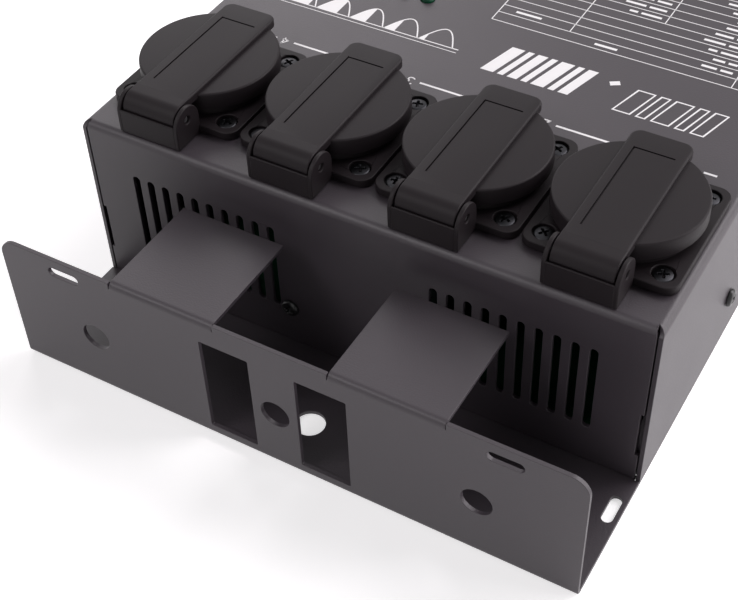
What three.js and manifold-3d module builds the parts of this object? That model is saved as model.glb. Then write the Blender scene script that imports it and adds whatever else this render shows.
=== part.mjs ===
// Four-channel dimmer pack: a folded steel housing with a hanging bracket at the rear,
// four flush sockets with sprung lids on top, and the controls, fuses and data connectors at the front.
// Millimetres, +Z up. The origin is the centre of the housing's underside; -Y is the bracket side.

import * as THREE from "three";
import { mergeVertices } from "three/addons/utils/BufferGeometryUtils.js";
import Module from "manifold-3d";

const wasm = await Module();
wasm.setup();

// Sizes shared by the whole pack
const housingWidth = 208;
const housingDepth = 240;
const housingHeight = 69;
const sheet = 1.5; // steel sheet of the cover and the tray
const coverBend = 2.6; // outside radius of the cover's folds
const fitGap = 0.3; // between pieces that touch or seat on each other
const overrun = 2; // how far a cutting tool passes a face
const mergeTolerance = 0.0001; // points closer than this are one
const roundSides = 24;
const middleSides = 16;
const smallSides = 12;
const screwSides = 8;
const tinySides = 6; // clearance holes and hexagons
const cornerSteps = 2; // flat stretches in a rounded corner
const earSteps = 4;
const plainSteps = 1;

// Base tray and hanging bracket
const bracketReach = 47.4; // rear wall to the outer face of the lip
const trayBend = 2.2;
const lipHeight = 53.5;
const lipCorner = 6;
const tabInner = 20.5; // from the middle to a tab's inner edge
const tabFromSide = 44.5;
const tabWallGap = 6.4; // from a tab's free end to the rear wall
const hangHoleRadius = 5.25;
const hangHoleFromSide = 34;
const windowWidth = 18;
const windowBottom = 4.55;
const windowDrop = 9.45; // from the lip's upper edge
const windowCentre = 17.4;
const tieSlotLength = 12;
const tieSlotWidth = 3.8;
const tieSlotFromSide = 25.5;
const tieSlotDrop = 5.5;
const plateHoleFromWall = 29.4;
const plateSlotLength = 11;
const plateSlotFromWall = 14;
const plateSlotMargin = 1.6;
const flangeHeight = 30;
const flangeSetback = 10;
const pillarRadius = 3.5;
const pillarHeight = 6.5;

// Rear wall vents and seams
const ventCount = 10;
const ventOpenShare = 7 / 15; // of the pitch
const ventMargin = 16.9; // above and below the slots
const ventInner = 30.1; // middle of each group's inmost slot
const ventFromSide = 19.9; // middle of the outmost one
const seamWidth = 0.5;
const seamNotchBottom = 13;
const seamNotchTop = 32;
const seamNotchDepth = 1.6;

// Socket row
const rowMargin = 2; // beside the first and the last socket's share of the width
const flangeSpacing = 1;
const flangeCorner = 4.5;
const flangeThickness = 3;
const screwInset = 6; // from the flange's edges
const collarInset = 3.3;
const collarWall = 1.95;
const recessDepth = 17.5;
const socketBuiltIn = 30; // below the top panel
const contactSpacing = 19;
const contactRadius = 2.6;
const contactDepth = 20;
const ribWidth = 5;
const ribReach = 1.8;

// Hinge block, lid and closing spring
const blockFromRear = 1.6;
const blockWall = 0.7;
const blockLap = 0.6; // over the flange's rear edge
const earThickness = 1.5;
const earGap = 0.4; // between the strap and each ear
const earShy = 0.3; // from the strap's top down to the ears
const hingeHeight = 9; // above the top panel
const ledgeRise = 0.2; // above the pin
const barrelRadius = 5.2;
const strapHalfWidth = 10.2;
const strapThickness = 3;
const strapProud = 1.5; // above the cap
const skirtDepth = 6.2;
const skirtClear = 0.9;
const skirtWall = 1.4;
const capPlate = 2;
const capRoundover = 0.8;
const fingerReach = 3.1; // from the cap's edge to the strap's free end
const strapCorner = 3.5;
const grooveInset = 3.4;
const grooveWidth = 0.6;
const grooveDepth = 0.5;
const grooveFromEdge = 6;
const grooveFromHinge = 8.2;
const pinRadius = 1.25;
const pinRunning = 0.2;
const springPocketLength = 13;
const springPocketRadius = 3.9;
const springWire = 0.45;
const springCoilRadius = 2.7;
const springTurns = 5;
const springSides = 5;
const springStepsPerTurn = 8;
const sealWidth = 1.5;
const sealThickness = 0.85;
const sealInset = 0.3;
const sealClear = 0.35; // above the collar with the lid shut

// Earth strap across the recess floor
const earthWidth = 6;
const earthThickness = 0.8;
const earthArmReach = 14.1;
const earthClaw = 1.2;

// Screws
const socketScrewHead = 3.3;
const socketScrewSink = 1.3;
const socketScrewShy = 0.3; // from the flange's face down to the head's crown
const socketScrewEdge = 0.7;
const socketScrewShank = 1.5;
const socketScrewLength = 9;
const crossLength = 3.6;
const crossWidth = 0.9;
const crossDepth = 0.9;
const coverScrewHead = 3.2;
const coverScrewHeadHeight = 2.1;
const coverScrewShank = 1.7;
const coverScrewLength = 7;
const coverScrewFromRear = 72;
const coverScrewHeight = 20.4;
const sinkScrewGap = 3; // from the outer triacs
const sinkScrewHeight = 18.1;

// Heat sink behind the rear wall
const sinkWidth = 56;
const sinkBase = 3;
const sinkBottom = 10.5;
const sinkTopGap = 9; // below the top panel
const finCount = 7;
const finThickness = 1.6;
const finReach = 9;
const finGap = 5.1; // from the triacs up to the fins

// Control board, display, keys and lamps
const boardThickness = 1.6;
const controlDrop = 10; // underside of the top panel to the board
const controlSideGap = 1.5;
const controlInner = 9; // from the middle of the pack
const controlLength = 84;
const controlFromFront = 89;
const studRadius = 2.5;
const studInset = 5;
const displayWidth = 42;
const displayLength = 20;
const displayToKeys = 30;
const displayProud = 0.4;
const displayRim = 2;
const displayRimThickness = 1.5;
const digitSideGap = 2;
const digitEndGap = 1;
const keyRadius = 4.5;
const keyProud = 2.4;
const keyCrown = 0.5;
const keyCollar = 1.2;
const keyCollarThickness = 1;
const keyTravel = 0.8;
const keyPitch = 16;
const keyInset = 13; // from the front edge of the control board
const keyCount = 4;
const switchSide = 6;
const switchHeight = 5;
const keyStemRadius = 2;
const lampRadius = 2.5;
const lampFoot = 0.5;
const lampFootHeight = 1;
const lampProud = 2.6;
const lampCount = 5;
const lampPitch = 10;
const domeRings = 3;
const lampOffset = 19.5; // from the control board's middle
const lampInset = 9; // from the rear edge of the control board

// Front wall connectors
const frontHeight = 36;
const dataInShare = -21 / 52; // places across the front, as shares of the width
const dataOutShare = -1 / 4;
const fuseShare = -19 / 208;
const fusePitchShare = 11 / 104;
const glandShare = 41 / 104;
const dataPlateWidth = 26;
const dataPlateHeight = 31;
const dataPlateThickness = 2;
const dataPlateCorner = 2.5;
const dataShellRadius = 11.8;
const dataBoreRadius = 9.6;
const dataBoreDepth = 16;
const dataBodyLength = 24;
const dataPinRadius = 1.2;
const dataPinCircle = 3.9;
const dataPinLength = 10.5;
const dataPinCount = 3;
const dataScrewRadius = 1.6;
const dataScrewX = 9.5;
const dataScrewZ = 12;
const dataCoreRadius = 8.3;
const fuseCount = 4;
const fuseBodyRadius = 6.2;
const fuseBodyLength = 32;
const fuseNeckRadius = 8;
const fuseNeckReach = 2.5;
const fuseCapRadius = 6.6;
const fuseCapReach = 8;
const fuseCapPlug = 5;
const fuseCapPlugRadius = 4.4;
const fuseCapEdge = 0.9;
const fuseSlotWidth = 1.4;
const fuseSlotDepth = 1.3;
const glandBore = 4.6;
const glandBodyRadius = 7.8;
const glandNutRadius = 11;
const glandNutHeight = 5;
const glandCapLength = 11;
const glandCapRadius = 9.6;
const glandMouthRadius = 6.4;
const glandTail = 9;
const lockNutHeight = 4;

// Power board, transformer and mains terminals
const powerFromSide = 10;
const powerFromFront = 69;
const chokeOuter = 13;
const chokeInner = 5.5;
const chokeHeight = 11;
const chokeInset = 25; // from the board's side edges
const chokeDepthShare = 23 / 60; // of the housing's depth
const chokeSides = 12;
const triacPitch = 11;
const triacWidth = 10;
const triacThickness = 4.5;
const triacHeight = 16;
const boardPillarInset = 7;
const transformerWidth = 44;
const transformerLength = 38;
const transformerHeight = 30;
const transformerFromSide = 38;
const transformerFromFront = 89;
const limbOverhang = 5;
const limbWidth = 16;
const terminalWidth = 45;
const terminalLength = 16;
const terminalHeight = 15;
const terminalFromSide = 42;
const terminalFromFront = 21;
const terminalWays = 3;
const terminalMouthRadius = 3;
const terminalMouthDepth = 8;

// Places and sizes that follow from the ones above
const rearY = -housingDepth / 2;
const frontY = housingDepth / 2;
const sideX = housingWidth / 2;
const innerTop = housingHeight - sheet;
const trayTop = sheet;
const lipY = rearY - bracketReach;
const tabLength = bracketReach - tabWallGap;
const hangHoleX = sideX - hangHoleFromSide;
const tieSlotX = sideX - tieSlotFromSide;
const windowTop = lipHeight - windowDrop;
const lipFeatureHeight = (windowBottom + windowTop) / 2;
const ventPitch = (sideX - ventFromSide - ventInner) / (ventCount - 1);
const ventWidth = ventPitch * ventOpenShare;

const socketCount = 4;
const socketPitch = (housingWidth - 2 * rowMargin) / socketCount;
const socketXs = Array.from({ length: socketCount }, (_, i) => (i - (socketCount - 1) / 2) * socketPitch);
const flangeSide = socketPitch - flangeSpacing;
const blockArc = barrelRadius + fitGap + blockWall;
const hingeY = rearY + blockFromRear + blockArc;
const socketY = hingeY + blockArc - blockLap + flangeSide / 2;
const screwSpacing = flangeSide - 2 * screwInset;
const collarRadius = flangeSide / 2 - collarInset;
const recessRadius = collarRadius - collarWall;
const hingeZ = housingHeight + hingeHeight;
const blockHalfWidth = strapHalfWidth + earGap + earThickness;
const strapTop = hingeZ + barrelRadius;
const capTop = strapTop - strapProud;
const capRadius = collarRadius + skirtClear + skirtWall;
const sealTop = capTop - capPlate - fitGap;
const collarTop = sealTop - sealThickness - sealClear;
const recessFloor = collarTop - recessDepth;

const sinkFace = rearY + sheet + fitGap + sinkBase; // the triacs lie against it
const powerHalfWidth = sideX - powerFromSide;
const powerY = sinkFace + fitGap;
const powerEnd = frontY - powerFromFront;
const chokePitch = (2 * powerHalfWidth - 2 * chokeInset) / (socketCount - 1);
const boardBottom = trayTop + pillarHeight + fitGap;
const boardTop = boardBottom + boardThickness;
const triacTop = boardTop + triacHeight;
const triacHalfSpan = ((socketCount - 1) * triacPitch + triacWidth) / 2;
const sinkScrewX = triacHalfSpan + sinkScrewGap;
const controlTop = innerTop - controlDrop;
const controlWidth = sideX - sheet - controlSideGap - controlInner;
const controlX = -controlInner - controlWidth / 2;
const controlY = frontY - controlFromFront;
const keyY = controlY + controlLength / 2 - keyInset;
const lampY = controlY - controlLength / 2 + lampInset;
const displayY = keyY - displayToKeys;
const dataInX = housingWidth * dataInShare;
const dataOutX = housingWidth * dataOutShare;
const glandX = housingWidth * glandShare;

const paint = new THREE.MeshStandardMaterial({ color: 0x4b484c, roughness: 0.6, metalness: 0.2 });
const blackPlastic = new THREE.MeshStandardMaterial({ color: 0x2b292b, roughness: 0.55, metalness: 0 });
const rubber = new THREE.MeshStandardMaterial({ color: 0x1c1c1d, roughness: 0.85, metalness: 0 });
const steel = new THREE.MeshStandardMaterial({ color: 0x9a9a9a, roughness: 0.35, metalness: 0.9 });
const blackSteel = new THREE.MeshStandardMaterial({ color: 0x1e1e20, roughness: 0.4, metalness: 0.7 });
const brass = new THREE.MeshStandardMaterial({ color: 0xb08d4a, roughness: 0.35, metalness: 0.9 });
const aluminium = new THREE.MeshStandardMaterial({ color: 0xa8aaac, roughness: 0.4, metalness: 0.9 });
const boardGreen = new THREE.MeshStandardMaterial({ color: 0x1d5b37, roughness: 0.6, metalness: 0 });
const lampGreen = new THREE.MeshStandardMaterial({ color: 0x0c4a2c, roughness: 0.2, metalness: 0 });
const windowRed = new THREE.MeshStandardMaterial({ color: 0x3a0a0c, roughness: 0.15, metalness: 0 });
const keyGrey = new THREE.MeshStandardMaterial({ color: 0x6e6d70, roughness: 0.6, metalness: 0 });

// A closed geometry as a solid that can be joined and cut.
function solid(geometry) {
  const plain = geometry.clone();
  plain.deleteAttribute("normal");
  plain.deleteAttribute("uv");
  const merged = mergeVertices(plain, mergeTolerance);
  const mesh = new wasm.Mesh({
    numProp: 3,
    vertProperties: new Float32Array(merged.attributes.position.array),
    triVerts: new Uint32Array(merged.index.array),
  });
  return new wasm.Manifold(mesh);
}

// A finished solid as a named mesh of the group.
function part(name, shape, material) {
  const { vertProperties, triVerts } = shape.getMesh();
  const geometry = new THREE.BufferGeometry();
  geometry.setAttribute("position", new THREE.BufferAttribute(vertProperties, 3));
  geometry.setIndex(new THREE.BufferAttribute(triVerts, 1));
  geometry.computeVertexNormals();
  const mesh = new THREE.Mesh(geometry, material);
  mesh.name = name;
  return mesh;
}

const union = (first, ...rest) => rest.reduce((whole, next) => whole.add(next), first);
const cutAll = (first, ...tools) => tools.reduce((whole, tool) => whole.subtract(tool), first);

// A block between two corners.
function block([x0, y0, z0], [x1, y1, z1]) {
  const geometry = new THREE.BoxGeometry(x1 - x0, y1 - y0, z1 - z0);
  return solid(geometry.translate((x0 + x1) / 2, (y0 + y1) / 2, (z0 + z1) / 2));
}

// A rod along an axis, from one place on it to another.
function rod(axis, radius, from, to, [a, b], sides = smallSides) {
  const geometry = new THREE.CylinderGeometry(radius, radius, to - from, sides);
  const middle = (from + to) / 2;
  if (axis === "x") geometry.rotateZ(Math.PI / 2).translate(middle, a, b);
  if (axis === "y") geometry.translate(a, middle, b);
  if (axis === "z") geometry.rotateX(Math.PI / 2).translate(a, b, middle);
  return solid(geometry);
}

// A turned form about +Z from pairs of radius and height, moved to its place.
function turned(profile, sides, x, y) {
  const points = profile.map(([r, z]) => new THREE.Vector2(r, z));
  const geometry = new THREE.LatheGeometry(points, sides).rotateX(Math.PI / 2);
  return solid(geometry.translate(x, y, 0));
}

// A turned form about +Y, for what stands out of the front wall.
function turnedOut(profile, sides, x, z) {
  const points = profile.map(([r, y]) => new THREE.Vector2(r, y));
  return solid(new THREE.LatheGeometry(points, sides).translate(x, 0, z));
}

function extrude(shape, depth, curveSegments) {
  return new THREE.ExtrudeGeometry(shape, { depth, bevelEnabled: false, curveSegments });
}

// A side profile in Y and Z carried along X.
function alongX(shape, from, to, curveSegments = cornerSteps) {
  const geometry = extrude(shape, to - from, curveSegments);
  return solid(geometry.rotateY(Math.PI / 2).rotateX(Math.PI / 2).translate(from, 0, 0));
}

// A profile in X and Z carried along Y.
function alongY(shape, from, to, curveSegments = cornerSteps) {
  return solid(extrude(shape, to - from, curveSegments).rotateX(Math.PI / 2).translate(0, to, 0));
}

// An outline in X and Y carried up Z.
function alongZ(shape, from, to, curveSegments = cornerSteps) {
  return solid(extrude(shape, to - from, curveSegments).translate(0, 0, from));
}

// A rectangle about a centre with rounded corners.
function roundedRectangle(cx, cy, width, height, r) {
  const [x0, x1] = [cx - width / 2, cx + width / 2];
  const [y0, y1] = [cy - height / 2, cy + height / 2];
  const shape = new THREE.Shape();
  shape.moveTo(x0 + r, y0);
  shape.lineTo(x1 - r, y0);
  shape.absarc(x1 - r, y0 + r, r, -Math.PI / 2, 0);
  shape.lineTo(x1, y1 - r);
  shape.absarc(x1 - r, y1 - r, r, 0, Math.PI / 2);
  shape.lineTo(x0 + r, y1);
  shape.absarc(x0 + r, y1 - r, r, Math.PI / 2, Math.PI);
  shape.lineTo(x0, y0 + r);
  shape.absarc(x0 + r, y0 + r, r, Math.PI, 1.5 * Math.PI);
  return shape;
}

// A rectangle with rounded upper corners only, such as a folded cover seen end on.
function hood(halfWidth, bottom, top, r) {
  const shape = new THREE.Shape();
  shape.moveTo(-halfWidth, bottom);
  shape.lineTo(halfWidth, bottom);
  shape.lineTo(halfWidth, top - r);
  shape.absarc(halfWidth - r, top - r, r, 0, Math.PI / 2);
  shape.lineTo(r - halfWidth, top);
  shape.absarc(r - halfWidth, top - r, r, Math.PI / 2, Math.PI);
  return shape;
}

// A cross recess cut into a pan head, pointing down.
function crossRecess(x, y, top) {
  const half = crossLength / 2;
  const thin = crossWidth / 2;
  const one = block([x - half, y - thin, top - crossDepth], [x + half, y + thin, top + overrun]);
  return one.add(block([x - thin, y - half, top - crossDepth], [x + thin, y + half, top + overrun]));
}

// The tray: the bottom plate, the lip of the hanging bracket with its two tabs, the side flanges
// that take the cover's screws, and the pressed-in pillars of the power board.
function baseTray() {
  const floor = alongX(bracketProfile(), -sideX, sideX);
  const bodyHalf = sideX - sheet - fitGap;
  const bodyEnd = frontY - sheet - fitGap;
  const plate = block([-bodyHalf, rearY - fitGap - sheet, 0], [bodyHalf, bodyEnd, sheet]);
  const tabOuter = sideX - tabFromSide;
  const tabSpans = [[-tabOuter, -tabInner], [tabInner, tabOuter]];
  const tabs = tabSpans.map(([from, to]) => alongX(tabProfile(), from, to));
  const openings = tabSpans.map(([from, to]) =>
    block([from, lipY - overrun, lipHeight - trayBend], [to, lipY + sheet + overrun, lipHeight + overrun]),
  );
  const flanges = [-1, 1].map((side) => sideFlange(side, bodyHalf));
  const pillars = boardPillars().map(([x, y]) => rod("z", pillarRadius, 0, trayTop + pillarHeight, [x, y]));
  const whole = union(cutAll(floor, ...openings), plate, ...tabs, ...flanges, ...pillars);
  return cutAll(whole, ...lipCuts(), ...plateCuts());
}

// Bottom plate and lip seen from the side, from the rear wall round the fold.
function bracketProfile() {
  const r = trayBend;
  const inside = trayBend - sheet;
  const end = rearY - fitGap;
  const shape = new THREE.Shape();
  shape.moveTo(end, 0);
  shape.lineTo(end, sheet);
  shape.lineTo(lipY + r, sheet);
  shape.absarc(lipY + r, r, inside, 1.5 * Math.PI, Math.PI, true);
  shape.lineTo(lipY + sheet, lipHeight);
  shape.lineTo(lipY, lipHeight);
  shape.lineTo(lipY, r);
  shape.absarc(lipY + r, r, r, Math.PI, 1.5 * Math.PI);
  return shape;
}

// A tab seen from the side: it leaves the top of the lip and is folded back towards the wall.
function tabProfile() {
  const r = trayBend;
  const inside = trayBend - sheet;
  const root = lipHeight - r - sheet;
  const end = lipY + tabLength;
  const shape = new THREE.Shape();
  shape.moveTo(lipY + sheet, root);
  shape.lineTo(lipY + sheet, lipHeight - r);
  shape.absarc(lipY + r, lipHeight - r, inside, Math.PI, Math.PI / 2, true);
  shape.lineTo(end, lipHeight - sheet);
  shape.lineTo(end, lipHeight);
  shape.lineTo(lipY + r, lipHeight);
  shape.absarc(lipY + r, lipHeight - r, r, Math.PI / 2, Math.PI);
  shape.lineTo(lipY, root);
  return shape;
}

function sideFlange(side, bodyHalf) {
  const outline = new THREE.Shape();
  const start = rearY + flangeSetback;
  const end = frontY - flangeSetback;
  outline.moveTo(start, 0);
  outline.lineTo(end, 0);
  outline.lineTo(end, flangeHeight - lipCorner);
  outline.absarc(end - lipCorner, flangeHeight - lipCorner, lipCorner, 0, Math.PI / 2);
  outline.lineTo(start + lipCorner, flangeHeight);
  outline.absarc(start + lipCorner, flangeHeight - lipCorner, lipCorner, Math.PI / 2, Math.PI);
  const [from, to] = side < 0 ? [-bodyHalf, sheet - bodyHalf] : [bodyHalf - sheet, bodyHalf];
  const wall = alongX(outline, from, to);
  const holes = coverScrewYs().map((y) =>
    rod("x", coverScrewShank + fitGap, from - overrun, to + overrun, [y, coverScrewHeight], tinySides),
  );
  return cutAll(wall, ...holes);
}

function coverScrewYs() {
  return [rearY + coverScrewFromRear, frontY - coverScrewFromRear];
}

function boardPillars() {
  const x = powerHalfWidth - boardPillarInset;
  const near = powerY + boardPillarInset;
  const far = powerEnd - boardPillarInset;
  return [-x, x].flatMap((px) => [near, far].map((py) => [px, py]));
}

// Everything cut through the lip: the clamp holes, the two windows, the tie slots and the round corners.
function lipCuts() {
  const [from, to] = [lipY - overrun, lipY + sheet + overrun];
  const holes = [-hangHoleX, 0, hangHoleX].map((x) =>
    rod("y", hangHoleRadius, from, to, [x, lipFeatureHeight], roundSides),
  );
  const windows = [-windowCentre, windowCentre].map((x) => {
    return block([x - windowWidth / 2, from, windowBottom], [x + windowWidth / 2, to, windowTop]);
  });
  const slots = [-tieSlotX, tieSlotX].map((x) => {
    const z = lipHeight - tieSlotDrop;
    const outline = roundedRectangle(x, z, tieSlotLength, tieSlotWidth, tieSlotWidth / 2);
    return alongY(outline, from, to);
  });
  const corners = [-1, 1].map((side) => {
    const x = side * sideX;
    const inner = x - side * lipCorner;
    const [low, high] = [Math.min(x + side * overrun, inner), Math.max(x + side * overrun, inner)];
    const z = lipHeight - lipCorner;
    const square = block([low, from, z], [high, to, lipHeight + overrun]);
    return square.subtract(rod("y", lipCorner, from - sheet, to + sheet, [inner, z], roundSides));
  });
  return [...holes, ...windows, ...slots, ...corners];
}

// The bracket's share of the bottom plate has one round hole and a slot beside each edge.
function plateCuts() {
  const middle = [0, rearY - plateHoleFromWall];
  const hole = rod("z", hangHoleRadius, -overrun, sheet + overrun, middle, roundSides);
  const x = sideX - plateSlotMargin - tieSlotWidth / 2;
  const slots = [-x, x].map((px) => {
    const y = rearY - plateSlotFromWall;
    const outline = roundedRectangle(px, y, tieSlotWidth, plateSlotLength, tieSlotWidth / 2);
    return alongZ(outline, -overrun, sheet + overrun);
  });
  return [hole, ...slots];
}

// The cover: top, rear, front and sides folded from one sheet, with open seams at the upright corners.
function topCover() {
  const outer = hoodBlock(0, coverBend);
  const inner = hoodBlock(sheet, coverBend - sheet);
  const [studEnd, studRoot] = [controlTop + fitGap, housingHeight - sheet / 2];
  const studs = controlStuds().map((at) => rod("z", studRadius, studEnd, studRoot, at));
  const shell = union(outer.subtract(inner), ...studs);
  return cutAll(
    shell,
    ...coverFeet(),
    ...vents(),
    ...cornerSeams(),
    ...socketHoles(),
    ...panelHoles(),
    ...frontHoles(),
    ...coverScrewHoles(),
  );
}

// A closed block with the cover's folded upper edges, drawn in by an inset on every face.
function hoodBlock(inset, bend) {
  const bottom = inset > 0 ? -overrun : 0;
  const top = housingHeight - inset;
  const endOn = hood(sideX - inset, bottom, top, bend);
  const sideOn = hood(frontY - inset, bottom, top, bend);
  const across = alongY(endOn, rearY - overrun, frontY + overrun);
  return across.intersect(alongX(sideOn, -sideX - overrun, sideX + overrun));
}

function coverFeet() {
  const clear = sideX - sheet;
  return [block([-clear, rearY - overrun, -overrun], [clear, rearY + sheet + overrun, sheet + fitGap])];
}

function vents() {
  const height = housingHeight - 2 * ventMargin;
  return [-1, 1].flatMap((side) =>
    Array.from({ length: ventCount }, (_, i) => {
      const x = side * (ventInner + i * ventPitch);
      const outline = roundedRectangle(x, housingHeight / 2, ventWidth, height, ventWidth / 2);
      return alongY(outline, rearY - overrun, rearY + sheet + overrun, plainSteps);
    }),
  );
}

// Where the rear and front sheets stop short of the side sheets, with a notch low in each rear edge.
function cornerSeams() {
  const top = housingHeight - coverBend;
  const edge = sideX - sheet;
  return [-1, 1].flatMap((side) => {
    const [low, high] = side < 0 ? [-edge, seamWidth - edge] : [edge - seamWidth, edge];
    const rear = block([low, rearY - overrun, -overrun], [high, rearY + sheet + overrun, top]);
    const front = block([low, frontY - sheet - overrun, -overrun], [high, frontY + overrun, top]);
    const [nl, nh] = side < 0 ? [-edge, seamNotchDepth - edge] : [edge - seamNotchDepth, edge];
    const notch = block([nl, rearY - overrun, seamNotchBottom], [nh, rearY + sheet + overrun, seamNotchTop]);
    return [rear, front, notch];
  });
}

function socketHoles() {
  const [from, to] = [innerTop - overrun, housingHeight + overrun];
  return socketXs.flatMap((x) => [
    rod("z", collarRadius + fitGap, from, to, [x, socketY], roundSides),
    ...socketScrewPlaces(x).map((at) => rod("z", socketScrewShank + fitGap, from, to, at, tinySides)),
  ]);
}

function socketScrewPlaces(x) {
  const half = screwSpacing / 2;
  return [-half, half].flatMap((dx) => [-half, half].map((dy) => [x + dx, socketY + dy]));
}

// Holes in the top panel for the display window, the keys and the lamps.
function panelHoles() {
  const [from, to] = [innerTop - overrun, housingHeight + overrun];
  const [w, l] = [displayWidth / 2, displayLength / 2];
  return [
    block([controlX - w, displayY - l, from], [controlX + w, displayY + l, to]),
    ...keyPlaces().map((at) => rod("z", keyRadius + fitGap, from, to, at)),
    ...lampPlaces().map((at) => rod("z", lampRadius + fitGap, from, to, at)),
  ];
}

function keyPlaces() {
  const first = controlX - ((keyCount - 1) / 2) * keyPitch;
  return Array.from({ length: keyCount }, (_, i) => [first + i * keyPitch, keyY]);
}

function lampPlaces() {
  const first = controlX + lampOffset;
  return Array.from({ length: lampCount }, (_, i) => [first - i * lampPitch, lampY]);
}

function fuseXs() {
  return Array.from({ length: fuseCount }, (_, i) => housingWidth * (fuseShare + i * fusePitchShare));
}

function frontHoles() {
  const [from, to] = [frontY - sheet - overrun, frontY + overrun];
  const hole = (x, r) => rod("y", r + fitGap, from, to, [x, frontHeight], middleSides);
  return [
    hole(dataInX, dataShellRadius),
    hole(dataOutX, dataShellRadius),
    ...fuseXs().map((x) => hole(x, fuseBodyRadius)),
    hole(glandX, glandBodyRadius),
  ];
}

// Screw holes through the side sheets and, for the heat sink, through the rear sheet.
function coverScrewHoles() {
  const reach = sideX + overrun;
  const inside = sideX - sheet - overrun;
  const sides = coverScrewYs().flatMap((y) =>
    [[-reach, -inside], [inside, reach]].map(([from, to]) =>
      rod("x", coverScrewShank + fitGap, from, to, [y, coverScrewHeight], tinySides),
    ),
  );
  const [before, behind] = [rearY - overrun, rearY + sheet + overrun];
  const rear = [-sinkScrewX, sinkScrewX].map((x) =>
    rod("y", coverScrewShank + fitGap, before, behind, [x, sinkScrewHeight], tinySides),
  );
  return [...sides, ...rear];
}

function controlStuds() {
  const x = controlWidth / 2 - studInset;
  const y = controlLength / 2 - studInset;
  return [-x, x].flatMap((dx) => [-y, y].map((dy) => [controlX + dx, controlY + dy]));
}

// One flush socket: square flange, round collar with the plug recess, hinge block and its four screws.
function socketBody(x) {
  const base = housingHeight + fitGap;
  const outline = roundedRectangle(x, socketY, flangeSide, flangeSide, flangeCorner);
  const flange = alongZ(outline, base, base + flangeThickness, plainSteps);
  const barrel = rod("z", collarRadius, housingHeight - socketBuiltIn, collarTop, [x, socketY], roundSides);
  const face = base + flangeThickness;
  const whole = union(flange, barrel, hingeBlock(x, base));
  const body = cutAll(whole, recess(x), earthChannel(x), ...contactHoles(x), ...screwSinks(x, face));
  const screws = socketScrewPlaces(x).map((at) => sunkScrew(at, face));
  return union(body, ...guideRibs(x), ...screws);
}

function recess(x) {
  return rod("z", recessRadius, recessFloor, collarTop + overrun, [x, socketY], middleSides);
}

function contactHoles(x) {
  return [-1, 1].map((side) => {
    const at = [x + (side * contactSpacing) / 2, socketY];
    return rod("z", contactRadius, recessFloor - contactDepth, recessFloor + overrun, at, screwSides);
  });
}

// The channel across the floor that the earth strap lies in, flush with the floor.
function earthChannel(x) {
  const half = earthWidth / 2 + fitGap;
  const reach = recessRadius - earthThickness / 2;
  const low = recessFloor - earthThickness - fitGap;
  return block([x - half, socketY - reach, low], [x + half, socketY + reach, recessFloor + overrun]);
}

// The two upright ribs that key the plug.
function guideRibs(x) {
  const outer = recessRadius + ribReach / 2;
  const inner = recessRadius - ribReach;
  return [-1, 1].map((side) => {
    const [low, high] = side < 0 ? [x - outer, x - inner] : [x + inner, x + outer];
    const half = ribWidth / 2;
    return block([low, socketY - half, recessFloor - ribReach], [high, socketY + half, collarTop - ribReach]);
  });
}

function screwSinks(x, top) {
  const r = socketScrewHead + fitGap;
  return socketScrewPlaces(x).map((at) => rod("z", r, top - socketScrewSink, top + overrun, at, screwSides));
}

// A socket screw: its low round head sits in the flange's sink and its shank passes the panel.
function sunkScrew([x, y], top) {
  const seat = top - socketScrewSink;
  const crown = top - socketScrewShy;
  const profile = [
    [0, top - socketScrewLength],
    [socketScrewShank, top - socketScrewLength],
    [socketScrewShank, seat - sheet / 2],
    [socketScrewHead, seat - sheet / 2],
    [socketScrewHead - socketScrewEdge, crown],
    [0, crown],
  ];
  return turned(profile, screwSides, x, y);
}

// The hinge block: two ears round a trough that the lid's barrel turns in.
function hingeBlock(x, base) {
  const front = hingeY - blockArc;
  const back = hingeY + blockArc;
  const arcZ = strapTop - earShy - blockArc;
  const ear = new THREE.Shape();
  ear.moveTo(front, base);
  ear.lineTo(back, base);
  ear.lineTo(back, arcZ);
  ear.absarc(hingeY, arcZ, blockArc, 0, Math.PI);
  const whole = alongX(ear, x - blockHalfWidth, x + blockHalfWidth, earSteps);
  const inner = blockHalfWidth - earThickness;
  const ledge = hingeZ + ledgeRise;
  const corner = [x + inner, back + overrun, ledge + blockArc];
  const above = block([x - inner, front - overrun, ledge], corner);
  const behind = block([x - inner, hingeY, base + flangeThickness], corner);
  const pin = [hingeY, hingeZ];
  const trough = rod("x", barrelRadius + fitGap, x - inner, x + inner, pin, middleSides);
  const bore = rod("x", pinRadius + pinRunning, pinStart(x) - overrun, pinEnd(x) + fitGap, pin, screwSides);
  return cutAll(whole, above, behind, trough, bore);
}

// The pin goes in from one side; the other ear has a blind bore.
function pinStart(x) {
  return x - blockHalfWidth;
}

function pinEnd(x) {
  return x + blockHalfWidth - earThickness / 2;
}

function hingePin(x) {
  return rod("x", pinRadius, pinStart(x), pinEnd(x), [hingeY, hingeZ]);
}

// The lid: a round cap with a skirt, a raised strap across it, and the hinge barrel.
function socketLid(x) {
  const top = capTop;
  const under = capTop - skirtDepth;
  const outline = [
    [0, under],
    [capRadius, under],
    [capRadius, top - capRoundover],
    [capRadius - capRoundover, top],
    [0, top],
  ];
  const cap = turned(outline, roundSides, x, socketY);
  const hollow = rod("z", capRadius - skirtWall, under - overrun, top - capPlate, [x, socketY], roundSides);
  const [left, right] = [x - strapHalfWidth, x + strapHalfWidth];
  const barrel = rod("x", barrelRadius, left, right, [hingeY, hingeZ], middleSides);
  const lid = union(cap.subtract(hollow), strap(x), barrel);
  return cutAll(lid, ...strapGrooves(x), ...lidBores(x));
}

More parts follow.
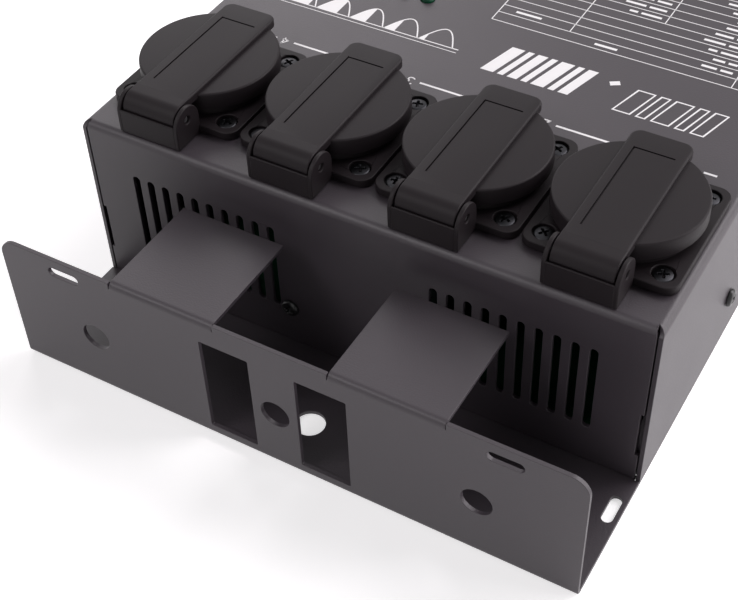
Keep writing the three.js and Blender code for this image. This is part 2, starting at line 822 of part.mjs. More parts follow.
// The strap runs from the barrel over the cap to a finger tab with round corners.
function strap(x) {
  const end = socketY + capRadius + fingerReach;
  const low = strapTop - strapThickness;
  const outline = new THREE.Shape();
  const [x0, x1] = [x - strapHalfWidth, x + strapHalfWidth];
  outline.moveTo(x0, hingeY);
  outline.lineTo(x1, hingeY);
  outline.lineTo(x1, end - strapCorner);
  outline.absarc(x1 - strapCorner, end - strapCorner, strapCorner, 0, Math.PI / 2);
  outline.lineTo(x0 + strapCorner, end);
  outline.absarc(x0 + strapCorner, end - strapCorner, strapCorner, Math.PI / 2, Math.PI);
  return alongZ(outline, low, strapTop);
}

// A fine line down one side of the strap and across its far end.
function strapGrooves(x) {
  const left = x - strapHalfWidth + grooveInset;
  const right = x + strapHalfWidth - grooveInset;
  const far = socketY + capRadius - grooveFromEdge;
  const near = hingeY + grooveFromHinge;
  const [low, high] = [strapTop - grooveDepth, strapTop + overrun];
  return [
    block([left, near, low], [left + grooveWidth, far, high]),
    block([left, far - grooveWidth, low], [right, far, high]),
  ];
}

function lidBores(x) {
  const half = springPocketLength / 2;
  const [left, right] = [x - strapHalfWidth - overrun, x + strapHalfWidth + overrun];
  const bore = rod("x", pinRadius + pinRunning, left, right, [hingeY, hingeZ], screwSides);
  const pocket = rod("x", springPocketRadius, x - half, x + half, [hingeY, hingeZ]);
  const r = springPocketRadius;
  const under = hingeZ - barrelRadius - overrun;
  const mouth = block([x - half, hingeY - r / 2, under], [x + half, hingeY + r, hingeZ]);
  return [bore, pocket, mouth];
}

// The closing spring, wound round the pin inside the barrel: one unbroken tube along a helix.
function closingSpring(x) {
  const rings = helix(x).map(([along, angle]) =>
    Array.from({ length: springSides }, (_, j) => {
      const around = (j / springSides) * 2 * Math.PI;
      const radius = springCoilRadius + springWire * Math.cos(around);
      return onHelix(along + springWire * Math.sin(around), angle, radius);
    }),
  );
  return tube(rings);
}

// Steps of the helix: how far along X each one is, and its angle round the pin.
function helix(x) {
  const half = springPocketLength / 2 - springWire - fitGap;
  const steps = springTurns * springStepsPerTurn;
  return Array.from({ length: steps + 1 }, (_, i) => {
    const angle = (i / springStepsPerTurn) * 2 * Math.PI;
    return [x - half + (2 * half * i) / steps, angle];
  });
}

function onHelix(along, angle, radius) {
  return [along, hingeY + radius * Math.cos(angle), hingeZ + radius * Math.sin(angle)];
}

// The least gap from the wire to another turn of itself, measured on the middle of the wire.
function springGap() {
  const wire = helix(0).map(([along, angle]) => onHelix(along, angle, springCoilRadius));
  const middles = wire.map((at) => new THREE.Vector3(...at));
  const apart = Math.round(springStepsPerTurn / 2);
  const gaps = middles.flatMap((a, i) => middles.slice(i + apart).map((b) => a.distanceTo(b)));
  return Math.min(...gaps) - 2 * springWire;
}

// A closed tube through rings of points, with flat ends.
function tube(rings) {
  const sides = rings[0].length;
  const position = new THREE.Float32BufferAttribute(rings.flat(2), 3);
  const index = [];
  for (let i = 0; i < rings.length - 1; i++) {
    for (let j = 0; j < sides; j++) {
      const [a, b] = [i * sides + j, i * sides + ((j + 1) % sides)];
      index.push(a, a + sides, b, b, a + sides, b + sides);
    }
  }
  const last = (rings.length - 1) * sides;
  for (let j = 1; j < sides - 1; j++) {
    index.push(0, j, j + 1);
    index.push(last, last + j + 1, last + j);
  }
  const geometry = new THREE.BufferGeometry().setAttribute("position", position).setIndex(index);
  const made = solid(geometry);
  if (made.volume() > 0) return made;
  geometry.setIndex(index.slice().reverse());
  return solid(geometry);
}

// A flat ring under the cap that closes on the collar's rim.
function lidSeal(x) {
  const outer = collarRadius - sealInset;
  const inner = outer - sealWidth;
  const low = sealTop - sealThickness;
  const profile = [[inner, low], [outer, low], [outer, sealTop], [inner, sealTop], [inner, low]];
  return turned(profile, middleSides, x, socketY);
}

// The earth strap crosses the recess floor, and its two claws stand up beside the plug.
function earthStrap(x) {
  const half = recessRadius - fitGap - earthThickness / 2;
  const low = recessFloor - earthThickness;
  const high = low + earthArmReach;
  const shape = new THREE.Shape();
  const t = earthThickness;
  shape.moveTo(socketY - half, low);
  shape.lineTo(socketY + half, low);
  shape.lineTo(socketY + half, high - earthClaw);
  shape.lineTo(socketY + half - earthClaw, high);
  shape.lineTo(socketY + half - t - earthClaw, high - earthClaw);
  shape.lineTo(socketY + half - t, high - 2 * earthClaw);
  shape.lineTo(socketY + half - t, low + t);
  shape.lineTo(socketY - half + t, low + t);
  shape.lineTo(socketY - half + t, high - 2 * earthClaw);
  shape.lineTo(socketY - half + t + earthClaw, high - earthClaw);
  shape.lineTo(socketY - half + earthClaw, high);
  shape.lineTo(socketY - half, high - earthClaw);
  return alongX(shape, x - earthWidth / 2, x + earthWidth / 2);
}

// A pan-head screw along an axis: its head outside the sheet and its shank inwards.
function panScrew() {
  const profile = [
    [0, -coverScrewLength],
    [coverScrewShank, -coverScrewLength],
    [coverScrewShank, fitGap],
    [coverScrewHead, fitGap],
    [coverScrewHead, coverScrewHeadHeight - crossDepth],
    [coverScrewHead - crossWidth, coverScrewHeadHeight],
    [0, coverScrewHeadHeight],
  ];
  return turned(profile, screwSides, 0, 0).subtract(crossRecess(0, 0, coverScrewHeadHeight));
}

// A pan-head screw set at its place and turned to its axis.
function screwAt(name, [x, y, z], [rx, ry, rz]) {
  const mesh = part(name, panScrew(), blackSteel);
  mesh.position.set(x, y, z);
  mesh.rotation.set(rx, ry, rz);
  return mesh;
}

// The heat sink: a plate against the rear wall with upright fins.
function heatSink() {
  const y0 = rearY + sheet + fitGap;
  const y1 = sinkFace;
  const half = sinkWidth / 2;
  const top = innerTop - sinkTopGap;
  const plate = block([-half, y0, sinkBottom], [half, y1, top]);
  const pitch = (sinkWidth - finThickness) / (finCount - 1);
  const fins = Array.from({ length: finCount }, (_, i) => {
    const x = -half + i * pitch;
    return block([x, y0, triacTop + finGap], [x + finThickness, y1 + finReach, top]);
  });
  const holes = [-sinkScrewX, sinkScrewX].map((x) =>
    rod("y", coverScrewShank + fitGap, y0 - overrun, y1 + overrun, [x, sinkScrewHeight], tinySides),
  );
  return cutAll(union(plate, ...fins), ...holes);
}

// The power board with its soldered triacs and chokes.
function powerBoard() {
  const plate = block([-powerHalfWidth, powerY, boardBottom], [powerHalfWidth, powerEnd, boardTop]);
  const chokes = socketXs.map((_, i) => {
    const x = (i - (socketCount - 1) / 2) * chokePitch;
    const [low, high] = [boardBottom, boardTop + chokeHeight];
    const [inner, outer] = [chokeInner, chokeOuter];
    const profile = [[inner, low], [outer, low], [outer, high], [inner, high], [inner, low]];
    return turned(profile, chokeSides, x, rearY + housingDepth * chokeDepthShare);
  });
  const triacs = socketXs.map((_, i) => {
    const x = (i - (socketCount - 1) / 2) * triacPitch;
    const half = triacWidth / 2;
    const far = [x + half, powerY + triacThickness, triacTop];
    return block([x - half, powerY, boardBottom], far);
  });
  return union(plate, ...chokes, ...triacs);
}

// The mains transformer: laminated core with the winding standing out on both sides.
function transformer() {
  const x = transformerFromSide - sideX;
  const y = frontY - transformerFromFront;
  const low = boardTop + fitGap;
  const high = low + transformerHeight;
  const [hw, hl] = [transformerWidth / 2, transformerLength / 2];
  const core = block([x - hw, y - hl / 2, low], [x + hw, y + hl / 2, high]);
  const bobbin = block([x - limbWidth, y - hl, low], [x + limbWidth, y + hl, high - limbOverhang]);
  return core.add(bobbin);
}

// The mains terminal block with one mouth for each wire.
function terminalBlock() {
  const face = frontY - terminalFromFront;
  const low = trayTop + fitGap;
  const high = low + terminalHeight;
  const left = sideX - terminalFromSide - terminalWidth / 2;
  const body = block([left, face - terminalLength, low], [left + terminalWidth, face, high]);
  const pitch = terminalWidth / terminalWays;
  const mouths = Array.from({ length: terminalWays }, (_, i) => {
    const at = [left + (i + 1 / 2) * pitch, low + terminalHeight / 2];
    return rod("y", terminalMouthRadius, face - terminalMouthDepth, face + overrun, at, tinySides);
  });
  return cutAll(body, ...mouths);
}

// The control board with its soldered digits and key switches, under the top panel.
function controlBoard() {
  const [hw, hl] = [controlWidth / 2, controlLength / 2];
  const low = controlTop - boardThickness;
  const plate = block([controlX - hw, controlY - hl, low], [controlX + hw, controlY + hl, controlTop]);
  const [dw, dl] = [displayWidth / 2 - digitSideGap, displayLength / 2 - digitEndGap];
  const digitsTop = innerTop - displayRimThickness - 2 * fitGap;
  const digits = block([controlX - dw, displayY - dl, low], [controlX + dw, displayY + dl, digitsTop]);
  const switches = keyPlaces().map(([x, ky]) => {
    const h = switchSide / 2;
    return block([x - h, ky - h, low], [x + h, ky + h, controlTop + switchHeight]);
  });
  return union(plate, digits, ...switches);
}

// The display window: a tinted pane in the panel with a rim behind it.
function displayPane() {
  const rimTop = innerTop - fitGap;
  const rimLow = rimTop - displayRimThickness;
  const layer = (w, l, top) => block([controlX - w, displayY - l, rimLow], [controlX + w, displayY + l, top]);
  const [w, l] = [displayWidth / 2 - fitGap, displayLength / 2 - fitGap];
  return layer(w, l, housingHeight + displayProud).add(layer(w + displayRim, l + displayRim, rimTop));
}

// A key: a crowned cap through the panel, with a collar that keeps it in and a stem to its switch.
function menuKey([x, y]) {
  const top = housingHeight + keyProud;
  const collarTopZ = innerTop - fitGap;
  const collarLow = collarTopZ - keyCollarThickness;
  const stemEnd = controlTop + switchHeight + keyTravel + fitGap;
  const profile = [
    [0, Math.min(stemEnd, collarLow)],
    [keyStemRadius, Math.min(stemEnd, collarLow)],
    [keyStemRadius, collarLow],
    [keyRadius + keyCollar, collarLow],
    [keyRadius + keyCollar, collarTopZ],
    [keyRadius, collarTopZ],
    [keyRadius, top - keyCrown],
    [keyRadius - keyCrown, top],
    [0, top],
  ];
  return turned(profile, smallSides, x, y);
}

// A lamp: a domed lens that stands on the control board and looks through the panel.
function lamp([x, y]) {
  const foot = controlTop + fitGap;
  const shoulder = housingHeight + lampProud - lampRadius;
  const dome = Array.from({ length: domeRings }, (_, i) => {
    const angle = (i / domeRings) * (Math.PI / 2);
    return [lampRadius * Math.cos(angle), shoulder + lampRadius * Math.sin(angle)];
  });
  const profile = [
    [0, foot],
    [lampRadius + lampFoot, foot],
    [lampRadius + lampFoot, foot + lampFootHeight],
    [lampRadius, foot + lampFootHeight],
    ...dome,
    [0, shoulder + lampRadius],
  ];
  return turned(profile, screwSides, x, y);
}

// The front plate of a data connector with its two screw holes, and the shell behind it.
function dataShell(x) {
  const face = frontY + fitGap;
  const outline = roundedRectangle(x, frontHeight, dataPlateWidth, dataPlateHeight, dataPlateCorner);
  const plate = alongY(outline, face, face + dataPlateThickness);
  const mouth = face + dataPlateThickness;
  const shell = rod("y", dataShellRadius, face - dataBodyLength, mouth, [x, frontHeight], middleSides);
  const holes = [-1, 1].map((side) => {
    const at = [x + side * dataScrewX, frontHeight - side * dataScrewZ];
    return rod("y", dataScrewRadius, face - overrun, mouth + overrun, at, tinySides);
  });
  return { mouth, whole: cutAll(plate.add(shell), ...holes) };
}

// Three contacts on a circle, two above and one below.
function pinPlaces(x) {
  return Array.from({ length: dataPinCount }, (_, i) => {
    const turn = Math.PI / 6 + (i / dataPinCount) * 2 * Math.PI;
    return [x + dataPinCircle * Math.cos(turn), frontHeight + dataPinCircle * Math.sin(turn)];
  });
}

// Data input: a round well with three pins standing in it.
function dataIn(x) {
  const { mouth, whole } = dataShell(x);
  const floor = mouth - dataBoreDepth;
  const well = rod("y", dataBoreRadius, floor, mouth + overrun, [x, frontHeight], middleSides);
  const [root, tip] = [floor - overrun, floor + dataPinLength];
  const pins = pinPlaces(x).map((at) => rod("y", dataPinRadius, root, tip, at, tinySides));
  return union(whole.subtract(well), ...pins);
}

// Data output: a core with three holes, ringed by the groove that the plug's shell enters.
function dataOut(x) {
  const { mouth, whole } = dataShell(x);
  const floor = mouth - dataBoreDepth;
  const well = rod("y", dataBoreRadius, floor, mouth + overrun, [x, frontHeight], middleSides);
  const core = rod("y", dataCoreRadius, floor - overrun, mouth, [x, frontHeight], middleSides);
  const [end, start] = [mouth - dataPinLength, mouth + overrun];
  const holes = pinPlaces(x).map((at) => rod("y", dataPinRadius, end, start, at, tinySides));
  return cutAll(whole.subtract(well).add(core), ...holes);
}

// A fuse holder: the body through the front wall, its round neck outside and its lock nut inside.
function fuseHolder(x) {
  const face = frontY + fitGap;
  const inside = frontY - sheet - fitGap;
  const mouth = face + fuseNeckReach;
  const profile = [
    [0, face - fuseBodyLength],
    [fuseBodyRadius, face - fuseBodyLength],
    [fuseBodyRadius, inside - lockNutHeight],
    [fuseNeckRadius, inside - lockNutHeight],
    [fuseNeckRadius, inside],
    [fuseBodyRadius, inside],
    [fuseBodyRadius, face],
    [fuseNeckRadius, face],
    [fuseNeckRadius, mouth],
    [fuseCapPlugRadius + fitGap, mouth],
    [fuseCapPlugRadius + fitGap, mouth - fuseCapPlug - fitGap],
    [0, mouth - fuseCapPlug - fitGap],
  ];
  return turnedOut(profile, smallSides, x, frontHeight);
}

// A fuse cap: a knob with a driver slot and a plug that enters the holder.
function fuseCap(x) {
  const seat = frontY + fitGap + fuseNeckReach + fitGap;
  const top = seat + fuseCapReach;
  const profile = [
    [0, seat - fuseCapPlug],
    [fuseCapPlugRadius, seat - fuseCapPlug],
    [fuseCapPlugRadius, seat],
    [fuseCapRadius, seat],
    [fuseCapRadius, top - fuseCapEdge],
    [fuseCapRadius - fuseCapEdge, top],
    [0, top],
  ];
  const knob = turnedOut(profile, smallSides, x, frontHeight);
  const slot = block(
    [x - fuseCapRadius - overrun, top - fuseSlotDepth, frontHeight - fuseSlotWidth / 2],
    [x + fuseCapRadius + overrun, top + overrun, frontHeight + fuseSlotWidth / 2],
  );
  return knob.subtract(slot);
}

// The cable gland: hexagon and domed cap outside, lock nut inside, and a bore right through.
function cableGland(x) {
  const face = frontY + fitGap;
  const inside = frontY - sheet - fitGap;
  const hexEnd = face + glandNutHeight;
  const capEnd = hexEnd + glandCapLength;
  const at = [x, frontHeight];
  const hexagon = rod("y", glandNutRadius, face, hexEnd, at, tinySides);
  const lockNut = rod("y", glandNutRadius, inside - lockNutHeight, inside, at, tinySides);
  const neck = rod("y", glandBodyRadius, inside - glandTail, hexEnd, at, roundSides);
  const dome = [
    [0, hexEnd - sheet],
    [glandCapRadius, hexEnd - sheet],
    [glandCapRadius, capEnd - glandNutHeight],
    [glandMouthRadius, capEnd],
    [0, capEnd],
  ];
  const cap = turnedOut(dome, middleSides, x, frontHeight);
  const bore = rod("y", glandBore, inside - glandTail - overrun, capEnd + overrun, at, smallSides);
  return union(hexagon, lockNut, neck, cap).subtract(bore);
}

const pack = new THREE.Group();
pack.add(part("base_tray", baseTray(), paint));
pack.add(part("top_cover", topCover(), paint));
socketXs.forEach((x, i) => {
  const n = socketCount - i; // channel 1 is at the user's left, which is the +X end
  pack.add(part(`socket_body_${n}`, socketBody(x), blackPlastic));
  pack.add(part(`earth_strap_${n}`, earthStrap(x), brass));
  pack.add(part(`socket_lid_${n}`, socketLid(x), blackPlastic));
  pack.add(part(`lid_seal_${n}`, lidSeal(x), rubber));
  pack.add(part(`hinge_pin_${n}`, hingePin(x), steel));
  pack.add(part(`closing_spring_${n}`, closingSpring(x), steel));
});
coverScrewYs().forEach((y, i) => {
  const end = i === 0 ? "rear" : "front";
  const z = coverScrewHeight;
  pack.add(screwAt(`cover_screw_right_${end}`, [sideX, y, z], [0, Math.PI / 2, 0]));
  pack.add(screwAt(`cover_screw_left_${end}`, [-sideX, y, z], [0, -Math.PI / 2, 0]));
});
[-sinkScrewX, sinkScrewX].forEach((x, i) => {
  pack.add(screwAt(`heat_sink_screw_${i + 1}`, [x, rearY, sinkScrewHeight], [Math.PI / 2, 0, 0]));
});
pack.add(part("heat_sink", heatSink(), aluminium));
pack.add(part("power_board", powerBoard(), boardGreen));
pack.add(part("transformer", transformer(), blackSteel));
pack.add(part("terminal_block", terminalBlock(), keyGrey));
pack.add(part("control_board", controlBoard(), boardGreen));
pack.add(part("display_window", displayPane(), windowRed));
keyPlaces().forEach((at, i) => pack.add(part(`menu_key_${keyCount - i}`, menuKey(at), keyGrey)));
lampPlaces().forEach((at, i) => pack.add(part(`status_lamp_${i + 1}`, lamp(at), lampGreen)));
pack.add(part("dmx_input", dataIn(dataInX), blackSteel));
pack.add(part("dmx_output", dataOut(dataOutX), blackSteel));
fuseXs().forEach((x, i) => {
  pack.add(part(`fuse_holder_${fuseCount - i}`, fuseHolder(x), blackPlastic));
  pack.add(part(`fuse_cap_${fuseCount - i}`, fuseCap(x), blackPlastic));
});
pack.add(part("cable_gland", cableGland(glandX), blackPlastic));

console.log(`closing spring: least gap between its turns ${springGap().toFixed(2)} mm`);

export default pack;
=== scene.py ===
"""Looks of a four-channel dimmer pack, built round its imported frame.

The pack is a folded steel housing with a hanging bracket at the rear, four flush sockets under
sprung lids on its top, and the display, keys, lamps, fuses and data connectors at its front. Every
form is worked out in millimetres and put into its mesh in metres, in the frame's own place.
"""

from __future__ import annotations

import logging
import math
from dataclasses import dataclass
from enum import Enum

import bmesh
import bpy
import numpy as np
from mathutils import Matrix, Vector, geometry


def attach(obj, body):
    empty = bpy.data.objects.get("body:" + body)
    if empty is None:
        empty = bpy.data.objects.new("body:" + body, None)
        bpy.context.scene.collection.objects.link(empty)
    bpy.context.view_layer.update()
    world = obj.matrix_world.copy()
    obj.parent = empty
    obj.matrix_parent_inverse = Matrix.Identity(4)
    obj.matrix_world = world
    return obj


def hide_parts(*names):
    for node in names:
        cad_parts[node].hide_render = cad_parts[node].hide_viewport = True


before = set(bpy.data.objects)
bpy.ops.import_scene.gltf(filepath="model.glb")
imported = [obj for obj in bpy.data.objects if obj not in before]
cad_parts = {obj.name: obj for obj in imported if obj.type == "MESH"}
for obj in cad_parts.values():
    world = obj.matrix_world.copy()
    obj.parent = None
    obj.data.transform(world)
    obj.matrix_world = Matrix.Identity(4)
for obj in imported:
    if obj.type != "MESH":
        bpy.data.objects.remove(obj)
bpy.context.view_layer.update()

log = logging.getLogger("dimmer_pack")

MM = 0.001
SHARP = math.radians(32)
WELD = 1e-5  # points of a flat pattern nearer than this are one, in millimetres
MERGE = 2e-7  # points of a mesh nearer than this are one, in metres
HOUSING = "housing"

Point = tuple[float, float]
Spot = tuple[float, float, float]
Faces = list[tuple[int, ...]]


# Outlines: closed loops of points in a plane, counter-clockwise


def arc(
    cx: float, cy: float, radius: float, start: float, end: float, steps: int = 8
) -> np.ndarray:
    """Points at evenly spaced angles on a circle: centre plus radius times cosine and sine.

    Args:
        cx, cy: the circle's centre.
        radius: its radius.
        start, end: the first and last angle in degrees.
        steps: how many stretches the arc has.

    Returns:
        An array of steps + 1 points.
    """
    angle = np.radians(np.linspace(start, end, steps + 1))
    return np.stack([cx + radius * np.cos(angle), cy + radius * np.sin(angle)], axis=1)


def circle(cx: float, cy: float, radius: float, steps: int = 48) -> np.ndarray:
    """Evenly spaced points all round a circle, the first one not repeated."""
    return arc(cx, cy, radius, 0, 360, steps)[:-1]


def rounded(
    cx: float, cy: float, width: float, height: float, radius: float, steps: int = 6
) -> np.ndarray:
    """A rectangle whose corners are quarter circles.

    Args:
        cx, cy: the rectangle's middle.
        width, height: its sizes.
        radius: the corner radius; half the smaller size makes a slot with round ends.
        steps: stretches in each corner.

    Returns:
        The outline, counter-clockwise from the lower right corner.
    """
    x, y = width / 2 - radius, height / 2 - radius
    corners = [(x, -y, -90), (x, y, 0), (-x, y, 90), (-x, -y, 180)]
    return np.concatenate([arc(cx + u, cy + v, radius, a, a + 90, steps) for u, v, a in corners])


def mirrored(half: list[Point]) -> np.ndarray:
    """A loop from its right half, the left half being the mirror image across the Y axis."""
    right = np.array(half, float)
    return np.concatenate([right, right[::-1] * [-1, 1]])


def inside(loop: np.ndarray, points: np.ndarray) -> np.ndarray:
    """Which points lie in a loop, by counting the loop's edges to the right of each point.

    Args:
        loop: the loop's corners.
        points: the points to test.

    Returns:
        True for each point that an odd number of edges passes.
    """
    a, b = loop, np.roll(loop, -1, axis=0)
    x, y = points[:, :1], points[:, 1:]
    crosses = (a[:, 1] > y) != (b[:, 1] > y)
    rise = np.where(b[:, 1] == a[:, 1], 1.0, b[:, 1] - a[:, 1])
    at = a[:, 0] + (y - a[:, 1]) * (b[:, 0] - a[:, 0]) / rise
    return (crosses & (x < at)).sum(axis=1) % 2 == 1


def grid_faces(rows: int, columns: int, wrap_rows: bool, wrap_columns: bool) -> Faces:
    """Quads between neighbouring rows and columns of a grid, numbered row by row.

    Args:
        rows, columns: the grid's size.
        wrap_rows, wrap_columns: whether the last one is joined to the first.

    Returns:
        The corners of each quad.
    """
    i = np.arange(rows if wrap_rows else rows - 1)
    j = np.arange(columns if wrap_columns else columns - 1)
    i, j = np.meshgrid(i, j, indexing="ij")
    ahead, beside = (i + 1) % rows, (j + 1) % columns
    quads = [i * columns + j, i * columns + beside, ahead * columns + beside, ahead * columns + j]
    return [tuple(q) for q in np.stack(quads, axis=-1).reshape(-1, 4).tolist()]


def cut_flat(
    outline: np.ndarray, holes: list[np.ndarray], creases: list[np.ndarray] | None = None
) -> tuple[np.ndarray, np.ndarray]:
    """Triangles that fill an outline, leave its holes open and follow its crease lines.

    Args:
        outline: the outer loop.
        holes: inner loops.
        creases: pairs of points; each line is kept as triangle edges.

    Returns:
        The points and the triangles, which face up.
    """
    loops = [outline, *holes]
    lines = creases or []
    points = np.concatenate(loops + lines)
    edges, start = [], 0
    for loop in loops:
        n = len(loop)
        edges += [(start + k, start + (k + 1) % n) for k in range(n)]
        start += n
    edges += [(start + 2 * k, start + 2 * k + 1) for k in range(len(lines))]
    found = geometry.delaunay_2d_cdt([Vector(p) for p in points.tolist()], edges, [], 0, WELD)
    flat = np.array([tuple(v) for v in found[0]])
    triangles = np.array(found[2])
    middle = flat[triangles].mean(axis=1)
    keep = inside(outline, middle)
    for hole in holes:
        keep &= ~inside(hole, middle)
    used, renumbered = np.unique(triangles[keep], return_inverse=True)
    return flat[used], renumbered.reshape(-1, 3)


def rim(triangles: np.ndarray) -> np.ndarray:
    """Edges that belong to one triangle only, in that triangle's own direction.

    Args:
        triangles: the corners of each triangle.

    Returns:
        The two ends of each such edge.
    """
    edges = triangles[:, [0, 1, 1, 2, 2, 0]].reshape(-1, 2)
    key = np.sort(edges, axis=1)
    _, first, counts = np.unique(key, axis=0, return_index=True, return_counts=True)
    return edges[first[counts == 1]]


# Finishes


def set_inputs(node: bpy.types.Node, values: dict[str | int, object]) -> bpy.types.Node:
    """Sets the resting values of a shader node's inputs.

    Args:
        node: the shader node.
        values: the value of each input, by its name or number.

    Returns:
        The node.
    """
    for key, value in values.items():
        node.inputs[key].default_value = value
    return node


@dataclass(frozen=True)
class Finish:
    """How one material looks.

    Attributes:
        name: the material's name.
        colour: base colour, linear.
        roughness: its middle value.
        metallic: 0 or 1, or between for a thin coat over metal.
        spread: how far the colour wanders, as a share.
        grain: size of the surface's texture, in millimetres, or 0 where it is smooth.
        relief: height of that texture, in millimetres.
        specular: level of the plain reflection.
        transmission: share of light that passes.
        brushed: how many times longer the grain is along X than across.
    """

    name: str
    colour: Spot
    roughness: float
    metallic: float = 0.0
    spread: float = 0.06
    grain: float = 0.0
    relief: float = 0.0
    specular: float = 0.5
    transmission: float = 0.0
    brushed: float = 1.0

    def wander(self, tree: bpy.types.NodeTree, place: bpy.types.Node) -> None:
        """Lets a slow noise wander the colour and, by 7 percent, the roughness.

        Args:
            tree: the material's nodes.
            place: the node that gives the object's coordinates.
        """
        nodes, links = tree.nodes, tree.links
        shader = nodes["Principled BSDF"]
        slow = set_inputs(nodes.new("ShaderNodeTexNoise"), {"Scale": 34, "Detail": 5})
        tint = nodes.new("ShaderNodeMix")
        tint.data_type = "RGBA"
        for slot, share in ((6, 1 - self.spread), (7, 1 + self.spread)):
            set_inputs(tint, {slot: (*[c * share for c in self.colour], 1)})
        gloss = set_inputs(
            nodes.new("ShaderNodeMapRange"),
            {"To Min": self.roughness * 0.93, "To Max": min(1.0, self.roughness * 1.07)},
        )
        links.new(place.outputs["Object"], slow.inputs["Vector"])
        links.new(slow.outputs["Fac"], tint.inputs[0])
        links.new(tint.outputs[2], shader.inputs["Base Color"])
        links.new(slow.outputs["Fac"], gloss.inputs["Value"])
        links.new(gloss.outputs["Result"], shader.inputs["Roughness"])

    def roughen(self, tree: bpy.types.NodeTree, place: bpy.types.Node) -> None:
        """Lets a fine noise raise the surface's grain.

        Args:
            tree: the material's nodes.
            place: the node that gives the object's coordinates.
        """
        nodes, links = tree.nodes, tree.links
        stretch = set_inputs(nodes.new("ShaderNodeMapping"), {"Scale": (1 / self.brushed, 1, 1)})
        fine = set_inputs(
            nodes.new("ShaderNodeTexNoise"), {"Scale": 1 / (MM * self.grain), "Detail": 2}
        )
        bump = set_inputs(
            nodes.new("ShaderNodeBump"), {"Strength": 1, "Distance": self.relief * MM}
        )
        links.new(place.outputs["Object"], stretch.inputs["Vector"])
        links.new(stretch.outputs["Vector"], fine.inputs["Vector"])
        links.new(fine.outputs["Fac"], bump.inputs["Height"])
        links.new(bump.outputs["Normal"], nodes["Principled BSDF"].inputs["Normal"])

    def build(self) -> bpy.types.Material:
        """Makes the material from noise read at the object's own coordinates.

        Returns:
            The material.
        """
        material = bpy.data.materials.new(self.name)
        material.use_nodes = True
        tree = material.node_tree
        set_inputs(
            tree.nodes["Principled BSDF"],
            {
                "Metallic": self.metallic,
                "Specular IOR Level": self.specular,
                "Transmission Weight": self.transmission,
                "Roughness": self.roughness,
                "Base Color": (*self.colour, 1),
            },
        )
        place = tree.nodes.new("ShaderNodeTexCoord")
        if self.spread:
            self.wander(tree, place)
        if self.grain:
            self.roughen(tree, place)
        return material


class Look(Enum):
    """Every finish of the pack."""

    PAINT = Finish(
        "powder_coat", (0.041, 0.0342, 0.0408), 0.42, 0, 0.05, 0.6, 0.055, specular=0.4
    )
    MOULDING = Finish(
        "socket_moulding", (0.0125, 0.0098, 0.0112), 0.48, 0, 0.06, 0.4, 0.01, specular=0.13
    )
    BLACK = Finish(
        "black_moulding", (0.009, 0.009, 0.0095), 0.42, 0, 0.06, 0.4, 0.006, specular=0.36
    )
    RUBBER = Finish("seal_rubber", (0.018, 0.018, 0.018), 0.8, 0, 0.05, 0.3, 0.01, specular=0.3)
    ZINC = Finish("zinc_steel", (0.5, 0.5, 0.51), 0.3, 1, 0.08, 0.3, 0.003)
    DARK_ZINC = Finish("dark_zinc", (0.028, 0.028, 0.031), 0.36, 1, 0.1, 0.3, 0.004)
    BLACK_OXIDE = Finish("black_oxide", (0.008, 0.008, 0.0085), 0.3, 0.2, 0.1, 0.3, 0.004)
    BRASS = Finish("rolled_brass", (0.62, 0.46, 0.19), 0.3, 1, 0.06, 0.25, 0.003, brushed=8)
    ALUMINIUM = Finish(
        "extruded_aluminium", (0.6, 0.6, 0.62), 0.38, 1, 0.06, 0.3, 0.004, brushed=12
    )
    BOARD = Finish("solder_resist", (0.007, 0.042, 0.018), 0.4, spread=0.1, specular=0.3)
    LAMINATED = Finish(
        "varnished_core", (0.1, 0.085, 0.07), 0.4, 0.5, 0.2, 0.6, 0.02, brushed=20
    )
    TERMINAL = Finish("terminal_moulding", (0.3, 0.3, 0.31), 0.5)
    WINDOW = Finish("tinted_window", (0.028, 0.004, 0.005), 0.08, spread=0)
    SEGMENT = Finish("unlit_segments", (0.075, 0.022, 0.024), 0.12, spread=0)
    LENS = Finish(
        "green_lens", (0.004, 0.1, 0.045), 0.1, spread=0, specular=0.6, transmission=0.25
    )
    KEY = Finish("key_moulding", (0.2, 0.2, 0.21), 0.5, grain=0.4, relief=0.008)
    DIECAST = Finish(
        "black_diecast", (0.014, 0.014, 0.0155), 0.4, 0.2, 0.06, 0.5, 0.01, specular=0.4
    )
    INK = Finish("printed_ink", (0.86, 0.86, 0.86), 0.5, spread=0.02)


LOOKS = {look: look.value.build() for look in Look}


# Forms: closed surfaces joined into one mesh


def to_part(piece: bpy.types.Object, body: str, *nodes: str) -> None:
    """Lets a piece move with its body and stand for its nodes, and reports it.

    Args:
        piece: the finished object.
        body: the body that it rides on.
        nodes: the plain solids that it takes the place of.
    """
    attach(piece, body)
    if nodes:
        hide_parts(*nodes)
    log.info("%s rides on %s, for %s", piece.name, body, ", ".join(nodes) or "no solid")


def outward(direction: Spot) -> Matrix:
    """The turn that carries +Z to a direction."""
    return Vector((0, 0, 1)).rotation_difference(Vector(direction)).to_matrix()


def clean(mesh: bpy.types.Mesh) -> None:
    """Joins doubled points, drops slivers, and turns closed surfaces' faces outwards.

    Args:
        mesh: the mesh, changed in place.
    """
    work = bmesh.new()
    work.from_mesh(mesh)
    bmesh.ops.remove_doubles(work, verts=work.verts, dist=MERGE)
    bmesh.ops.dissolve_degenerate(work, edges=work.edges, dist=MERGE)
    bmesh.ops.recalc_face_normals(work, faces=work.faces)
    work.to_mesh(mesh)
    work.free()


